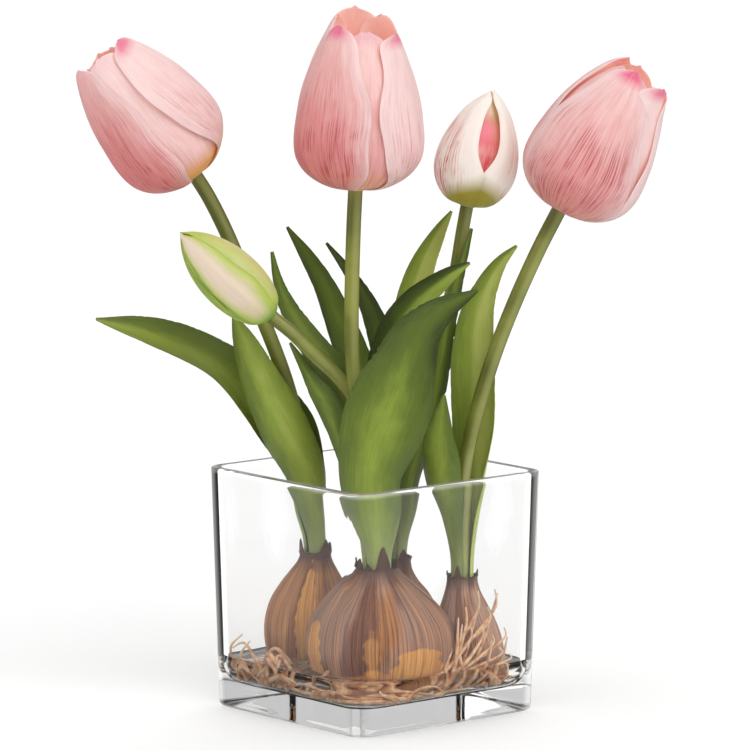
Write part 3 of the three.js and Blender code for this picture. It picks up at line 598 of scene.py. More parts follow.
def add_tubes(name, paths, start_radius, end_radius, spacing, sides, finish):
    """Paths in front millimetres to one mesh of tubes in place."""
    curve = bpy.data.curves.new(name, "CURVE")
    curve.dimensions = "3D"
    for path in paths:
        spline = curve.splines.new("POLY")
        spline.points.add(len(path) - 1)
        placed = from_front(path)
        spline.points.foreach_set("co", np.column_stack([placed, np.ones(len(placed))]).ravel())
    carrier = bpy.data.objects.new(name + "_paths", curve)
    scene.collection.objects.link(carrier)
    modifier = carrier.modifiers.new("tube", "NODES")
    modifier.node_group = TUBE
    inputs = [item.identifier for item in TUBE.interface.items_tree if item.in_out == "INPUT"]
    values = (start_radius * MM, end_radius * MM, spacing * MM, sides, finish)
    for identifier, value in zip(inputs[1:], values):
        modifier[identifier] = value
    graph = bpy.context.evaluated_depsgraph_get()
    mesh = bpy.data.meshes.new_from_object(carrier.evaluated_get(graph), depsgraph=graph)
    mesh.name = name
    bpy.data.objects.remove(carrier)
    bpy.data.curves.remove(curve)
    piece = bpy.data.objects.new(name, mesh)
    scene.collection.objects.link(piece)
    return piece


root_skin, start = new_finish("root_skin")
place = start.node("ShaderNodeTexCoord", out=3)
mottle = place.grain(260, 3, 0.6)
wrinkles = place.grain(900, 2, 0.5)
colour = mottle.rise(0.35, 0.65).mix(tint(222, 176, 136), tint(178, 120, 82))
colour = (start.note("along", 2).rise(0.75, 1.0) * 0.6).mix(colour, tint(238, 214, 180))
lay(start, wrinkles, 0.0002, Base_Color=colour, Roughness=0.42, Coat_Weight=0.3)

# Roots that show through the glass, point by point, in front millimetres.
SEEN_ROOTS = {
    "front": [
        [[2, -22, 11.6], [12, -34, 11.2], [24, -39, 11.6], [33, -34, 12.6], [37, -25, 12.2]],
        [[0, -22, 11.6], [-6, -38, 11.2], [2, -50, 11.4], [14, -49, 12.2], [20, -42, 12.6]],
        [[0, -24, 11.6], [-14, -38, 11.4], [-26, -34, 12.6], [-34, -26, 13.4], [-30, -18, 12]],
        [[0, -24, 11.6], [-10, -42, 11.4], [-18, -40, 14.2], [-26, -31, 15.6], [-36, -26, 12]],
        [[4, -22, 11.6], [4, -40, 11.4], [10, -52, 12], [6, -56.5, 14.6], [0, -54, 17]],
        [[4, -22, 11.6], [10, -44, 11.4], [18, -45, 15.4], [24, -38.5, 15.8], [30, -36, 12]],
        [[0, -22, 11.6], [-4, -44, 11.4], [-8, -50, 13.8], [-15, -44, 15.4], [-22, -38, 12]],
    ],
    "left": [
        [[-26, 14, 11.6], [-38, 2, 11.6], [-48, -2, 14], [-54, 4, 20], [-50, 8, 26]],
        [[-26, 14, 11.6], [-40, -4, 11.8], [-46, -12, 15.4], [-40, -16, 19], [-33, -18, 15]],
        [[-26, 14, 11.6], [-36, -6, 12], [-42, -16, 13], [-36, -24, 17], [-28, -28, 15]],
        [[-26, 14, 11.6], [-44, 4, 12], [-55, 6, 16], [-58, 4, 24], [-53, 2, 30]],
        [[-26, 14, 11.6], [-36, 0, 12], [-46, -8, 20], [-52, -2, 27], [-57, 4, 24]],
    ],
    "right": [
        [[37, 0, 11.6], [34, -8, 12.4], [33, -19, 16], [36.5, -22, 28], [40.5, -19.5, 42.5]],
        [[37, 0, 11.6], [38, -8, 12.4], [38, -16, 17], [44, -16.5, 33], [49.2, -13.4, 50]],
        [[37, 0, 11.6], [31, -10, 12.4], [31, -23, 16], [33, -26, 27], [34.6, -24, 39]],
        [[37, 0, 11.6], [42, -8, 12.4], [46, -13, 15], [51, -10.5, 22], [53.4, -8.8, 31]],
        [[37, 0, 11.6], [40, -9, 12.4], [42, -17, 16], [45.5, -16.5, 23], [46.8, -15, 31]],
        [[37, 0, 11.6], [43, -7, 12.2], [49, -10, 12.6], [52, -8, 14.6], [52.6, -6, 17.6]],
    ],
    "back": [
        [[8, 29, 11.6], [18, 20, 13], [24, 10, 22], [24, 4, 34], [22, -1, 44]],
        [[8, 29, 11.6], [20, 22, 13], [27, 12, 24], [28, 6, 36], [26, 2, 42]],
    ],
}
# The plate under each bulb: middle x, middle y, radius, and how many short roots spread from it.
PLATES = {
    "front": (1, -21.5, 7, 16),
    "left": (-25, 14, 5, 11),
    "right": (37, 1, 5, 11),
    "back": (8.5, 29, 5.5, 11),
}
PLATE_FOOT, PLATE_TOP = 10.4, 12.0
ROOT_RADIUS, ROOT_TIP = 1.05, 0.3
LOWEST = 11.1  # the lowest that a root's middle lies
INNER_HALF = half_side(14) - WALL - 1.6


def inside_glass(path):
    """The path drawn in where it would run into the vase's walls or floor."""
    placed = from_front(path) / MM
    placed[:, :2] = np.clip(placed[:, :2], -INNER_HALF, INNER_HALF)
    slope = np.clip(BASE + FLOOR_ROUND - placed[:, 2], 0, FLOOR_ROUND)
    room = (INNER_HALF - FLOOR_ROUND + np.sqrt(FLOOR_ROUND ** 2 - slope ** 2))[:, None]
    placed[:, :2] = np.clip(placed[:, :2], -room, room)
    x, y = turned(placed[:, 0], placed[:, 1], FRONT_TURN)
    return np.column_stack([x, y, np.clip(placed[:, 2], LOWEST, None)])


# Where loose loops lie: the bulb they grow from, how many, and the box their ends lie in.
LOOPS = [
    ("left", 15, (-54, -24), (-24, 2), (3, 14)),
    ("front", 14, (-34, 30), (-52, -38), (0.5, 4)),
    ("front", 8, (-40, -22), (-34, -14), (3, 12)),
    ("right", 10, (26, 52), (-24, -8), (2, 10)),
    ("back", 8, (-10, 30), (32, 54), (1, 8)),
]
SPRAY = [  # tips of the roots that stand up in front of the right-hand bulb
    (41, -20, 52), (48, -15, 52), (36, -23, 46), (45, -17, 45), (52, -10, 35), (50, -12, 27), (38, -22, 38),
    (33, -25, 42), (43, -19, 38), (54, -9, 24), (30, -27, 34), (47, -15, 33),
]
random = np.random.default_rng(5)
for side, (cx, cy, plate_radius, short_roots) in PLATES.items():
    paths = [inside_glass(np.array(path, float)) for path in SEEN_ROOTS[side]]
    for number in range(short_roots):
        bearing = random.uniform(0, 2 * math.pi)
        reach = random.uniform(1.5, 3.0) * plate_radius + 4
        curl = random.uniform(-1.4, 1.4)
        low, lift = random.uniform(11.2, 12.4), random.uniform(0, 4)
        path = []
        for s in np.linspace(0, 1, 9):
            angle = bearing + curl * s * s
            out = plate_radius * 0.5 + reach * (1 - (1 - s) ** 1.6)
            x, y = cx + out * math.cos(angle), cy + out * math.sin(angle)
            path.append([x, y, low + lift * math.sin(math.pi * s)])
        paths.append(inside_glass(np.array(path)))
    for owner, loops, xs, ys, lifts in LOOPS:
        for number in range(loops if owner == side else 0):
            a, b = ([random.uniform(*xs), random.uniform(*ys), random.uniform(11.4, 13)] for end in range(2))
            lift, bend = random.uniform(*lifts), random.uniform(-6, 6)
            path = [a]
            for s in (0.25, 0.5, 0.75):
                arch = math.sin(math.pi * s)
                x, y = (a[k] + (b[k] - a[k]) * s + aside * arch for k, aside in enumerate((-bend, bend)))
                path.append([x, y, 12 + lift * arch])
            paths.append(inside_glass(np.array(path + [b])))
    for x, y, z in SPRAY if side == "right" else ():
        foot_x, foot_y = random.uniform(20, 36), random.uniform(-33, -24)
        sway = random.uniform(-2.5, 2.5)
        path = [[foot_x - 6, foot_y, 12], [foot_x, foot_y, 13 + 0.1 * z]]
        path.append([(foot_x + x) / 2 + sway, (foot_y + y) / 2 - 2, 12 + 0.45 * (z - 12)])
        path.append([x - 0.15 * sway, y - 0.6, 12 + 0.8 * (z - 12)])
        paths.append(inside_glass(np.array(path + [[x, y, z]])))
    plate = [[cx, cy, PLATE_FOOT], [cx, cy, PLATE_TOP]]
    roots = add_tubes("root_tangle_" + side, paths, ROOT_RADIUS, ROOT_TIP, 1.1, 12, root_skin)
    disc = add_tubes("root_plate_" + side, [plate], plate_radius, plate_radius, 0.5, 40, root_skin)
    chosen = {"selected_editable_objects": [roots, disc], "selected_objects": [roots, disc]}
    with bpy.context.temp_override(active_object=roots, **chosen):
        bpy.ops.object.join()
    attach(roots, "root")
    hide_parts("roots_" + side)

# ---- Stems -----------------------------------------------------------------
# Smooth, juicy stems of olive green, with a highlight painted along one side, each rising from a
# bulb's neck into the foot of its bloom.
# Radius of each stem and points up its middle.
STEMS = {
    "left": (3, [
        [-23, 14, 60], [-24, 14, 76], [-27.5, 13, 94], [-30.5, 12, 110], [-35, 11, 129], [-40.2, 10, 145],
        [-48.8, 9, 167], [-59.6, 10.6, 193], [-67.4, 11.6, 209], [-73.5, 9.2, 219.4],
    ]),
    "centre": (3, [
        [0.4, -23.6, 61], [-1.4, -23, 90], [-4.9, -22, 115], [-8.4, -21, 141], [-9.4, -20, 160],
        [-9.2, -18, 180], [-8.6, -16, 200], [-7.9, -14, 215.2],
    ]),
    "closed_bud": (2.8, [
        [-0.3, -16.5, 61], [-0.6, -14.6, 88], [-2.6, -12.4, 109], [-7, -12, 127], [-14.5, -12.8, 138.5],
        [-24, -15, 148], [-33, -17.4, 157.5], [-41.2, -19, 164.4],
    ]),
    "half_open": (2.7, [
        [7.5, 28, 55.2], [9.6, 27.4, 77], [14, 26.3, 99], [20.6, 25.2, 124], [26, 24.2, 145],
        [30, 23.6, 162], [33.4, 23, 178], [35.8, 22, 193], [37.8, 21, 204.6],
    ]),
    "right": (3.1, [
        [34.9, 0, 53.4], [35.4, 0, 78], [37, 0, 99], [40.2, 0, 116], [44.4, 0, 132], [50, 0, 149.5],
        [57.8, 0, 169.5], [66.8, 0, 189.6], [74.9, 0, 205.6],
    ]),
}
INTO_BLOOM = 1.6  # each stem runs this far on into its bloom
HIGHLIGHT_FACING = from_front([456, -890, 0])  # where the side with the painted highlight looks
stem_green, start = new_finish("stem_green")
place = start.node("ShaderNodeTexCoord", out=3)
colour = place.grain(34, 3, 0.5).rise(0.32, 0.68).mix(tint(88, 94, 28), tint(130, 134, 54))
colour = (start.note("painted_highlight", 2) * 0.3).mix(colour, tint(186, 188, 122))
relief = place.grain(300, 2, 0.5)
lay(start, relief, 0.0001, Base_Color=colour, Roughness=0.3, Coat_Weight=0.6, Coat_Roughness=0.2)

for name, (radius, points) in STEMS.items():
    before, end = np.array(points[-2]), np.array(points[-1])
    points = points + [list(end + INTO_BLOOM * (end - before) / np.linalg.norm(end - before))]
    path = through(points, np.linspace(0, 1, 90))
    piece = add_tubes("stalk_" + name, [path], radius, radius, 1.5, 32, stem_green)
    normals = np.zeros(len(piece.data.vertices) * 3, np.float32)
    piece.data.vertex_normals.foreach_get("vector", normals)
    # A highlight painted along the side of each stem that faces this way.
    painted_highlight = np.clip(normals.reshape(-1, 3) @ HIGHLIGHT_FACING * 4 - 2.9, 0, 1).astype(np.float32)
    piece.data.attributes.new("painted_highlight", "FLOAT", "POINT").data.foreach_set("value", painted_highlight)
    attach(piece, "root")
    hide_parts("stem_" + name)

# ---- Leaves ----------------------------------------------------------------
# Fleshy tulip leaves, folded round the stems at the neck and opening upwards, with parallel
# veins, a highlight painted down the middle, thin wavy margins and a few torn edges.
# Rows run up the midrib: x, y, z, half width along the blade, half of the angle that the
# blade wraps round, and the bearing that its hollow side looks towards.
LEAVES = {
    "left_arching": [
        [-25.7, 17.2, 60.2, 6.6, 90, -50], [-26.4, 17.4, 69, 7, 88, -50], [-28.6, 18.8, 79, 8.8, 84, -52],
        [-30.6, 20.6, 95, 11.2, 78, -60], [-38, 21.4, 110, 15.2, 58, -54],
        [-51.4, 18.2, 126, 14.8, 44, -32], [-65, 12, 140.5, 12, 36, -16], [-80, 8, 149.5, 9.2, 34, -10],
        [-97, 3, 156.5, 5.8, 30, -10], [-114, -2, 161.5, 0.6, 18, -10],
    ],
    "left_upright": [
        [-20.9, 10.3, 60.2, 4.5, 60, 118], [-21.6, 9.7, 69, 4.8, 60, 114], [-23.6, 8.2, 80, 6.4, 60, 106],
        [-29, 3.8, 98, 10, 54, 92], [-36, 0.2, 112, 11.4, 44, 84], [-43, 0, 127, 10, 34, 80],
        [-49, -0.5, 140.5, 8, 28, 80], [-54, 0, 153, 4.8, 22, 80], [-58, 1, 163, 0.6, 14, 80],
    ],
    "front_broad": [
        [0.6, -28.2, 61, 6.4, 74, 90], [0.5, -28.6, 69, 7.4, 74, 90], [-0.4, -29.6, 83, 12.6, 68, 90],
        [-1.6, -31, 100, 14.6, 50, 92], [2, -33, 116, 17.6, 36, 94], [7, -34.4, 131, 18.2, 30, 96],
        [11.6, -35.6, 145, 14.6, 28, 98], [17.6, -37.4, 160, 10, 26, 100],
        [27.6, -40.4, 170.5, 5.8, 24, 104], [41.4, -44, 179, 0.6, 16, 108],
    ],
    "front_left_short": [
        [-5.3, -20.6, 61, 2.3, 20, 10], [-7, -19.6, 81, 3.2, 24, 26], [-9.6, -17.4, 98, 4.6, 28, 50],
        [-13.8, -15.4, 113, 5.8, 28, 60], [-19, -13, 127, 5.8, 24, 66], [-23.6, -11.4, 134.5, 4.6, 20, 70],
        [-28.2, -10, 142, 2.8, 16, 70], [-34.6, -8, 152.6, 0.6, 12, 70],
    ],
    "front_left_slender": [
        [-3.6, -13.6, 61, 3, 40, -40], [-5.2, -11.4, 80, 4, 38, -46], [-7, -7.4, 100, 6.4, 38, -60],
        [-9.6, -4, 120, 7.6, 34, -70], [-16.4, -2, 138, 7.2, 30, -76], [-27.2, -1, 153, 5.6, 26, -80],
        [-35.8, 0, 167, 3.7, 22, -84], [-39.8, 0, 178, 2, 18, -86], [-42, 0, 189, 0.7, 14, -86],
    ],
    "front_right_folded": [
        [3.3, -14, 61, 3.2, 42, -145], [5.2, -12, 80, 4.2, 40, -140], [6.8, -9.6, 97, 6.2, 42, -134],
        [6, -8, 113, 8, 40, -118], [5, -8.4, 130, 8.6, 38, -104], [5.4, -10.4, 146, 8.6, 40, -94],
        [9, -13, 160, 7.8, 44, -88], [16, -15.4, 170.5, 6.8, 48, -84], [25, -17.4, 178.5, 5, 48, -80],
        [32, -19, 183.5, 3, 40, -80], [38.6, -20, 187, 0.6, 20, -80],
    ],
    "back_left": [
        [3.3, 28.1, 55.2, 2.2, 30, -2], [3.9, 28, 66, 2.5, 30, -6], [4, 28.2, 77, 4, 34, -14],
        [2.6, 28, 94, 6, 34, -30], [-0.6, 26.4, 115, 7.6, 34, -50], [-6.4, 23.6, 135, 7.6, 32, -66],
        [-12.6, 20.6, 152, 7, 28, -74], [-20, 18, 171, 4.8, 24, -80], [-27.4, 16, 184.5, 3.2, 20, -84],
        [-36, 14, 197.5, 0.6, 14, -86],
    ],
    "back_narrow": [
        [6.2, 32, 55.2, 2, 27, -72], [7.2, 31.9, 66, 2.2, 27, -76], [7, 35.2, 77, 3.4, 28, -80],
        [8, 39.6, 94, 5, 30, -86], [8, 42, 114, 6, 30, -90], [6, 41, 134, 6.2, 30, -92],
        [2, 39, 150, 5.4, 28, -94], [-4, 37, 165, 3.8, 26, -94], [-11.4, 35, 177, 2.2, 22, -94],
        [-20, 33, 188.5, 0.6, 14, -94],
    ],
    "back_tall": [
        [10.6, 30.8, 55.2, 2, 27, -138], [11.7, 30.6, 66, 2.2, 27, -136], [13.6, 31.8, 77, 3.8, 32, -132],
        [14.2, 33.8, 94, 5.4, 32, -120], [13.6, 35.4, 114, 6.6, 32, -106], [13.6, 36.6, 134, 7.2, 32, -96],
        [14, 37.4, 152, 7.6, 34, -88], [15.6, 37.4, 166, 7, 38, -82], [20, 37, 180, 5.6, 40, -80],
        [26, 36, 192, 3.4, 36, -80], [31.8, 35, 201.5, 0.6, 20, -80],
    ],
    "back_ragged": [
        [10.5, 25, 55.2, 2.6, 36, 135], [11.5, 24.5, 66, 2.8, 36, 132], [13.6, 22.4, 77, 3.8, 34, 124],
        [15.4, 19.6, 92, 4.4, 32, 112], [19.4, 16.6, 108, 4.9, 28, 104], [24, 14.4, 123.5, 4.7, 25, 100],
        [27, 13.5, 138.5, 4.4, 22, 98], [29.4, 13.7, 153, 3.8, 20, 96], [32, 14.6, 166, 3, 18, 96],
        [35.4, 16, 180, 2.2, 16, 96], [39.8, 17, 196.5, 0.7, 12, 96],
    ],
    "right_tall": [
        [37.9, 3, 53.6, 6.5, 88, 225], [38.2, 3.2, 64, 6.8, 88, 225], [39.4, 4.4, 79, 9.2, 86, 228],
        [41.2, 7, 97, 11, 78, 240], [41.8, 9.4, 114, 10.8, 62, 254], [41, 10, 130, 10.4, 50, 262],
        [40.6, 10, 147, 9.6, 44, 266], [42.2, 9, 163, 7.4, 40, 268], [46.2, 8.2, 174.5, 5, 38, 270],
        [51.4, 8, 183.5, 2.9, 34, 270], [58.2, 8, 190.5, 0.6, 18, 270],
    ],
    "right_short": [
        [31.2, -2.1, 53.6, 4.3, 56, 30], [30.9, -2.4, 64, 4.4, 56, 32], [29, -4, 78, 6.4, 58, 46],
        [27, -7, 91, 8.4, 50, 66], [26.8, -8.4, 102, 8.4, 38, 78], [26.2, -9, 112, 6.8, 30, 84],
        [27, -8.6, 121, 4.2, 24, 86], [28.4, -8, 131, 0.6, 14, 86],
    ],
}
# How each blade is coloured: overall lightness, a highlight painted down its middle, a lighter
# right or left half (+ or -), how grey its bloom is, and how ragged each margin is (left, right) in
# millimetres.
LEAF_LOOKS = {
    "left_arching": (0.7, 0.4, -0.5, 0.45, 0.2, 0.5),
    "left_upright": (0.9, 0.45, -0.35, 0.2, 0.3, 0.3),
    "front_broad": (0.6, 0.45, 0.1, 0.1, 0.3, 0.9),
    "front_left_short": (0.4, 0.4, 0.2, 0.1, 0.3, 0.3),
    "front_left_slender": (0.5, 0.4, 0.2, 0.2, 0.9, 0.4),
    "front_right_folded": (0.65, 0.1, 1.3, 0.2, 0.3, 0.3),
    "back_left": (0.25, 0.4, 0.2, 0.2, 0.3, 0.5),
    "back_narrow": (-0.1, 0.3, 0.0, 0.3, 0.3, 0.3),
    "back_tall": (1.6, 0.2, 1.0, 0.2, 0.2, 0.5),
    "back_ragged": (0.4, 0.5, 0.2, 0.1, 0.8, 1.5),
    "right_tall": (1.3, 0.3, 0.8, 0.3, 0.3, 0.4),
    "right_short": (0.7, 0.4, 0.2, 0.2, 0.3, 0.3),
}
LEAF_ALONG, LEAF_ACROSS, LEAF_THICK = 168, 26, 0.8


def unit(vectors):
    return vectors / np.linalg.norm(vectors, axis=-1, keepdims=True)


def crowded(count, share):
    """Numbers from -1 to 1 that lie closer together towards both ends."""
    return np.sin(np.linspace(-math.pi / 2, math.pi / 2, count) * share) / math.sin(math.pi / 2 * share)


def leaf_sheet(rows, u, t, ragged, seed):
    """Points of a leaf's middle surface, for grids of u, across from -1 to 1, and t, along."""
    row = through(rows, t[:, 0])[:, None]
    midrib = np.array(rows, float)[:, :3]
    tangent = unit(through(midrib, t[:, 0] + 1e-3) - through(midrib, t[:, 0] - 1e-3))[:, None]
    middle, half, wrap, bearing = row[..., :3], row[..., 3], np.radians(row[..., 4]), np.radians(row[..., 5])
    hollow = np.stack([np.cos(bearing), np.sin(bearing), 0 * bearing], -1)
    hollow = unit(hollow - tangent * (hollow * tangent).sum(-1, keepdims=True))
    across = np.cross(tangent, hollow)
    radius, turn = half / wrap, u * wrap
    free = np.sin(math.pi * np.clip((t - 0.3) / 0.7, 0, None))  # the neck keeps smooth margins
    wave = 0.7 * np.sin(5 * math.pi * t + np.sign(u) * 0.8) + 0.22 * np.sin(23 * t + 2 * np.sign(u) + seed)
    notch = wobble(t * 1300, 100 + seed, 7) * np.where(u < 0, *ragged)
    drawn = 1 - np.clip(notch, 0, None) * free * np.abs(u) ** 6 / np.maximum(half, 2.5)
    groove = -0.28 * np.exp(-(u / 0.09) ** 2) * np.clip(half / 10, 0, 1)
    out = radius * (1 - np.cos(turn)) + free * wave * u ** 2 + groove
    return middle + across * (radius * np.sin(turn) * drawn)[..., None] + hollow * out[..., None]


def blade(sheet, thickness):
    """A closed blade round a grid of points: its points and faces."""
    along, across = sheet.shape[:2]
    normal = unit(np.cross(np.gradient(sheet, axis=1), np.gradient(sheet, axis=0)))
    offset = normal * thickness[..., None] * 0.5
    points = np.concatenate([(sheet - offset).reshape(-1, 3), (sheet + offset).reshape(-1, 3)])
    size = along * across
    faces = []
    for j in range(along - 1):
        for a in range(j * across, (j + 1) * across - 1):
            faces.append((a, a + 1, a + across + 1, a + across))
            faces.append((a + size, a + size + across, a + size + across + 1, a + size + 1))
    right, left = ([j * across + i for j in range(along - 1)] for i in (across - 1, across))
    rim = [*range(across - 1), *right, *range(size - 1, size - across, -1), *left[::-1]]
    for a, b in zip(rim, rim[1:] + rim[:1]):
        faces.append((a, a + size, b + size, b))
    return points, faces


def both_faces(*parts):
    """Grids of numbers as one vector note for the two faces of a blade."""
    return np.tile(np.stack(parts, -1).reshape(-1, 3), (2, 1))


leaf_green, start = new_finish("leaf_green")
vein, look = start.note("blade"), start.note("look")
light, bloom = look.part(0), look.part(1)
lines = vein.stretch(26, 1.1, 3).grain(2.4, 3, 0.55)
fine_lines = vein.stretch(70, 1.4, 5).grain(2.0, 2, 0.5)
patches = vein.stretch(2.5, 3.0, 3).grain(1.6, 3, 0.6)
level = light + (lines - 0.5) * 0.55 + (patches - 0.5) * 0.5
colour = level.rise(-0.3, 0.5).mix(tint(38, 54, 14), tint(86, 106, 24))
colour = level.rise(0.4, 1.25).mix(colour, tint(142, 162, 52))
colour = level.rise(1.1, 1.9).mix(colour, tint(196, 206, 104))
colour = (fine_lines.rise(0.5, 0.7) * 0.25).mix(colour, tint(128, 148, 56))
colour = (look.part(2) * 0.8).mix(colour, tint(186, 198, 124))
colour = (bloom * 0.4).mix(colour, tint(146, 156, 82))
lay(start, lines * 0.7 + fine_lines * 0.3, 0.0003, Base_Color=colour, Roughness=0.38 + bloom * 0.15,
    Coat_Weight=0.12, Coat_Roughness=0.35)

u, t = np.meshgrid(crowded(LEAF_ACROSS, 0.92), np.linspace(0, 1, LEAF_ALONG))
thin = LEAF_THICK * (1 - 0.72 * np.abs(u) ** 4) * (1 - 0.5 * t ** 6)
sheath = np.clip(1 - t / 0.26, 0, 1) ** 1.3  # the pale stretch inside the bulb's neck
for number, (name, rows) in enumerate(LEAVES.items()):
    lightness, middle_highlight, lean_side, grey, *ragged = LEAF_LOOKS[name]
    # Painted shade on the upper part of the broad front leaf, where it folds forward.
    painted_shade_tip = 0.45 if name == "front_broad" else 0
    points, faces = blade(leaf_sheet(rows, u, t, ragged, number), thin)
    # A highlight painted down the middle of each blade.
    level = lightness + middle_highlight * np.exp(-(u / 0.4) ** 2) * (0.6 + 0.4 * np.sin(math.pi * t))
    level = level + lean_side * 0.5 * np.tanh(u * 5) - 0.25 * np.abs(u) ** 3
    level = level - painted_shade_tip * np.clip((t - 0.5) / 0.25, 0, 1)
    notes = {
        "blade": both_faces(u, t * 3, u * 0 + number),
        "look": both_faces(level, grey * np.clip(t * 2, 0, 1), sheath),
    }
    piece = add_piece("blade_" + name, from_front(points), faces, leaf_green, notes)
    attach(piece, "root")
    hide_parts("leaf_" + name)

# ---- Open tulips -----------------------------------------------------------
# Three blooms of six petals each, three outside three, on a small green seat. The petals are
# salmon pink fading to cream at the margins, feathered with dark rose veins, warm at the foot.
# Cup rows run up a bloom: height and radius, for a bloom 1 high.
OPEN_CUP = [
    [0.01, 0.03], [0.03, 0.16], [0.1, 0.27], [0.2, 0.335], [0.32, 0.352], [0.46, 0.34],
    [0.6, 0.317], [0.74, 0.278], [0.86, 0.232], [0.95, 0.19], [1, 0.155],
]
OPEN_SPAN = [60, 60, 58, 58, 58, 56, 53, 50, 48, 46, 44]  # half of the angle a petal covers
LAYER_GAP = 1.2
PETAL_ALONG, PETAL_ACROSS, PETAL_THICK = 84, 34, 0.8
# Each bloom: where its foot sits, its lean in degrees to the right and to the front, its height
# and how full its cup is.
# Each petal: bearing (0 faces the front, + to the right), share of the cup's radius, share of
# its height, lean of its tip inwards, then its colours: salmon depth, veins, warmth at the
# foot, tip blotch; then its half spans on the left and right where they differ from the rest.
TULIPS = {
    "left": {
        "base": [-73.9, 9, 220], "lean": [-37.5, 16], "height": 67, "fullness": 1.03,
        "outer": [
            [-62, 0.95, 1, 0, 0.95, 1.1, 0.1, 0.2, None, [44, 54, 60, 62, 63, 63, 62, 58, 53, 50, 46]],
            [64, 1.06, 1, 0, 0.12, 0.85, 0.75, 0.9, [60, 24, 14, 20, 30, 40, 45, 46, 46, 45, 44], None],
            [178, 0.97, 0.95, 0.3, 0.6, 0.4, 0.4, 0.2],
        ],
        "inner": [
            [2, 0.955, 1.01, -0.05, 0.15, 0.3, 1.0, 0.1],
            [122, 1, 0.95, 0.2, 0.6, 0.5, 0.4, 0.5],
            [-118, 0.94, 0.93, 0.1, 0.7, 0.6, 0.4, 0.3],
        ],
    },
    "centre": {
        "base": [-7.4, -14, 215.8], "lean": [1.5, 0], "height": 74, "fullness": 1,
        "outer": [
            [-49, 0.98, 0.91, 0, 0.78, 1.15, 0.1, 0.9, None, [40, 50, 58, 60, 61, 61, 59, 54, 48, 41, 36]],
            [72, 1.04, 0.87, -0.25, 0.1, 0.75, 0.1, 0.8, [44, 30, 33, 42, 49, 52, 50, 46, 44, 44, 42], None],
            [196, 0.98, 1, 0.1, 0.75, 0.3, 0.4, 0.0],
        ],
        "inner": [
            [13, 0.98, 0.88, 0.1, 0.4, 0.5, 0.3, 0.3],
            [134, 1, 0.96, -0.15, 0.85, 0.2, 0.4, 0.0],
            [-108, 0.96, 0.96, 0, 0.7, 0.5, 0.4, 0.3],
        ],
    },
    "right": {
        "base": [74.9, 0, 206.4], "lean": [29, 4], "height": 68, "fullness": 1.05,
        "outer": [
            [-6, 1.02, 0.97, 0.25, 0.55, 1.1, 0.1, 1.0,
             [40, 52, 60, 62, 63, 62, 59, 54, 48, 44, 40], [56, 62, 66, 67, 66, 62, 57, 51, 46, 42, 40]],
            [114, 1.05, 0.92, -0.4, 0.1, 0.5, 0.1, 0.9],
            [-126, 0.97, 1.0, 0.35, 0.7, 0.6, 0.2, 0.9],
        ],
        "inner": [
            [60, 1.01, 0.955, -0.35, 0.1, 0.35, 0.3, 0.9],
            [174, 0.98, 0.98, 0.1, 0.6, 0.3, 0.4, 0.3],
            [-66, 0.97, 0.95, 0.3, 0.65, 0.5, 0.7, 0.3],
        ],
    },
}
# The green seat that carries the petals: radius and height.
SEAT = [[0.01, 0.1], [3.2, 0.1], [4.3, 0.7], [5, 1.6], [4.8, 3.2], [4.2, 4.4], [2.4, 5.1], [0.01, 5.4]]
BLOOM_NOTES = ("vein", "wash", "mark", "inner_glow")


def petal_sheet(bloom, cup, petal, gap, seed, waves, hug):
    """Points of one petal, in the bloom's own frame, with u across and v along for each."""
    bearing, share, tall, lean_in = petal[:4]
    height = bloom["height"]
    along = np.linspace(0, 1, PETAL_ALONG)
    eased = 0.35 * along + 0.65 * (0.5 - 0.5 * np.cos(math.pi * along))
    u, v = np.meshgrid(crowded(PETAL_ACROSS, 0.9), eased)
    rise, out = np.moveaxis(through(cup, v[:, :1]), -1, 0)
    spans = (span or OPEN_SPAN for span in petal[8:] or (None, None))
    left, right = (through([[degrees] for degrees in span], v[:, :1])[..., 0] for span in spans)
    belly, near_tip = np.sin(math.pi * v), np.clip((v - 0.8) / 0.2, 0, 1)
    # Round the axis: the span on either side, blunt at the tip, with slightly wandering margins.
    blunt = np.sqrt(1 - np.clip((v - 0.8) / 0.202, 0, 1) ** 2.7)
    wander = np.interp(v, [0, 0.3, 1], [0, 1, 1]) * np.sin(v * 19 + seed * 2.1 + np.sign(u) * 1.3)
    angle = np.radians(bearing + u * np.where(u < 0, left, right) * blunt * (1 + 0.035 * wander))
    # Away from the axis: the cup, the tip's lean, and the step in from the outer to the inner petals.
    proud = 1 + (share - 1) * np.interp(v, [0, 0.15, 0.7, 1], [0, 0.25, 1, 1])
    cup_radius = out * proud - lean_in * np.clip(v - 0.6, 0, None) ** 2
    radius = height * bloom["fullness"] * cup_radius - gap * np.clip(4 * v, None, 1)
    # Relief: ruffled margins, gentle swells, a crease up the middle and margins drawn in.
    ruffle = np.abs(u) ** 3 * np.sin(math.pi * np.clip(v * 1.05, 0, 1)) ** 0.7
    radius = radius + waves * ruffle * np.sin(v * 14 + seed + np.sign(u) * 2)
    radius = radius + 0.25 * np.cos(u * 9 + seed) * belly
    closing = hug + (0 if gap else 2.0) * np.clip(1 - v / 0.4, 0, 1)
    radius = radius - 0.5 * np.exp(-(u / 0.12) ** 2) * belly ** 2 - closing * np.abs(u) ** 5 * belly ** 0.5
    # Up the axis: margins lie a little lower than the middle, most of all at the tip.
    rounding = (0.008 * u ** 2 + 0.005 * np.sin(5 * u + 2 * seed)) * near_tip ** 1.5
    z = height * (rise * tall - 0.02 * u ** 2 * belly - rounding) + 0.5 * gap * (1 - v)
    return np.stack([radius * np.sin(angle), -radius * np.cos(angle), z], -1), u, v


def lathe(outline, sides):
    """A closed body turned from an outline of radius and height, both ends closed to a point."""
    angle = np.linspace(0, 2 * math.pi, sides, endpoint=False)
    rings = [np.stack([r * np.cos(angle), r * np.sin(angle), z + 0 * angle], -1) for r, z in outline]
    return skin_over(rings, (0, 0, outline[0][1]), (0, 0, outline[-1][1]))


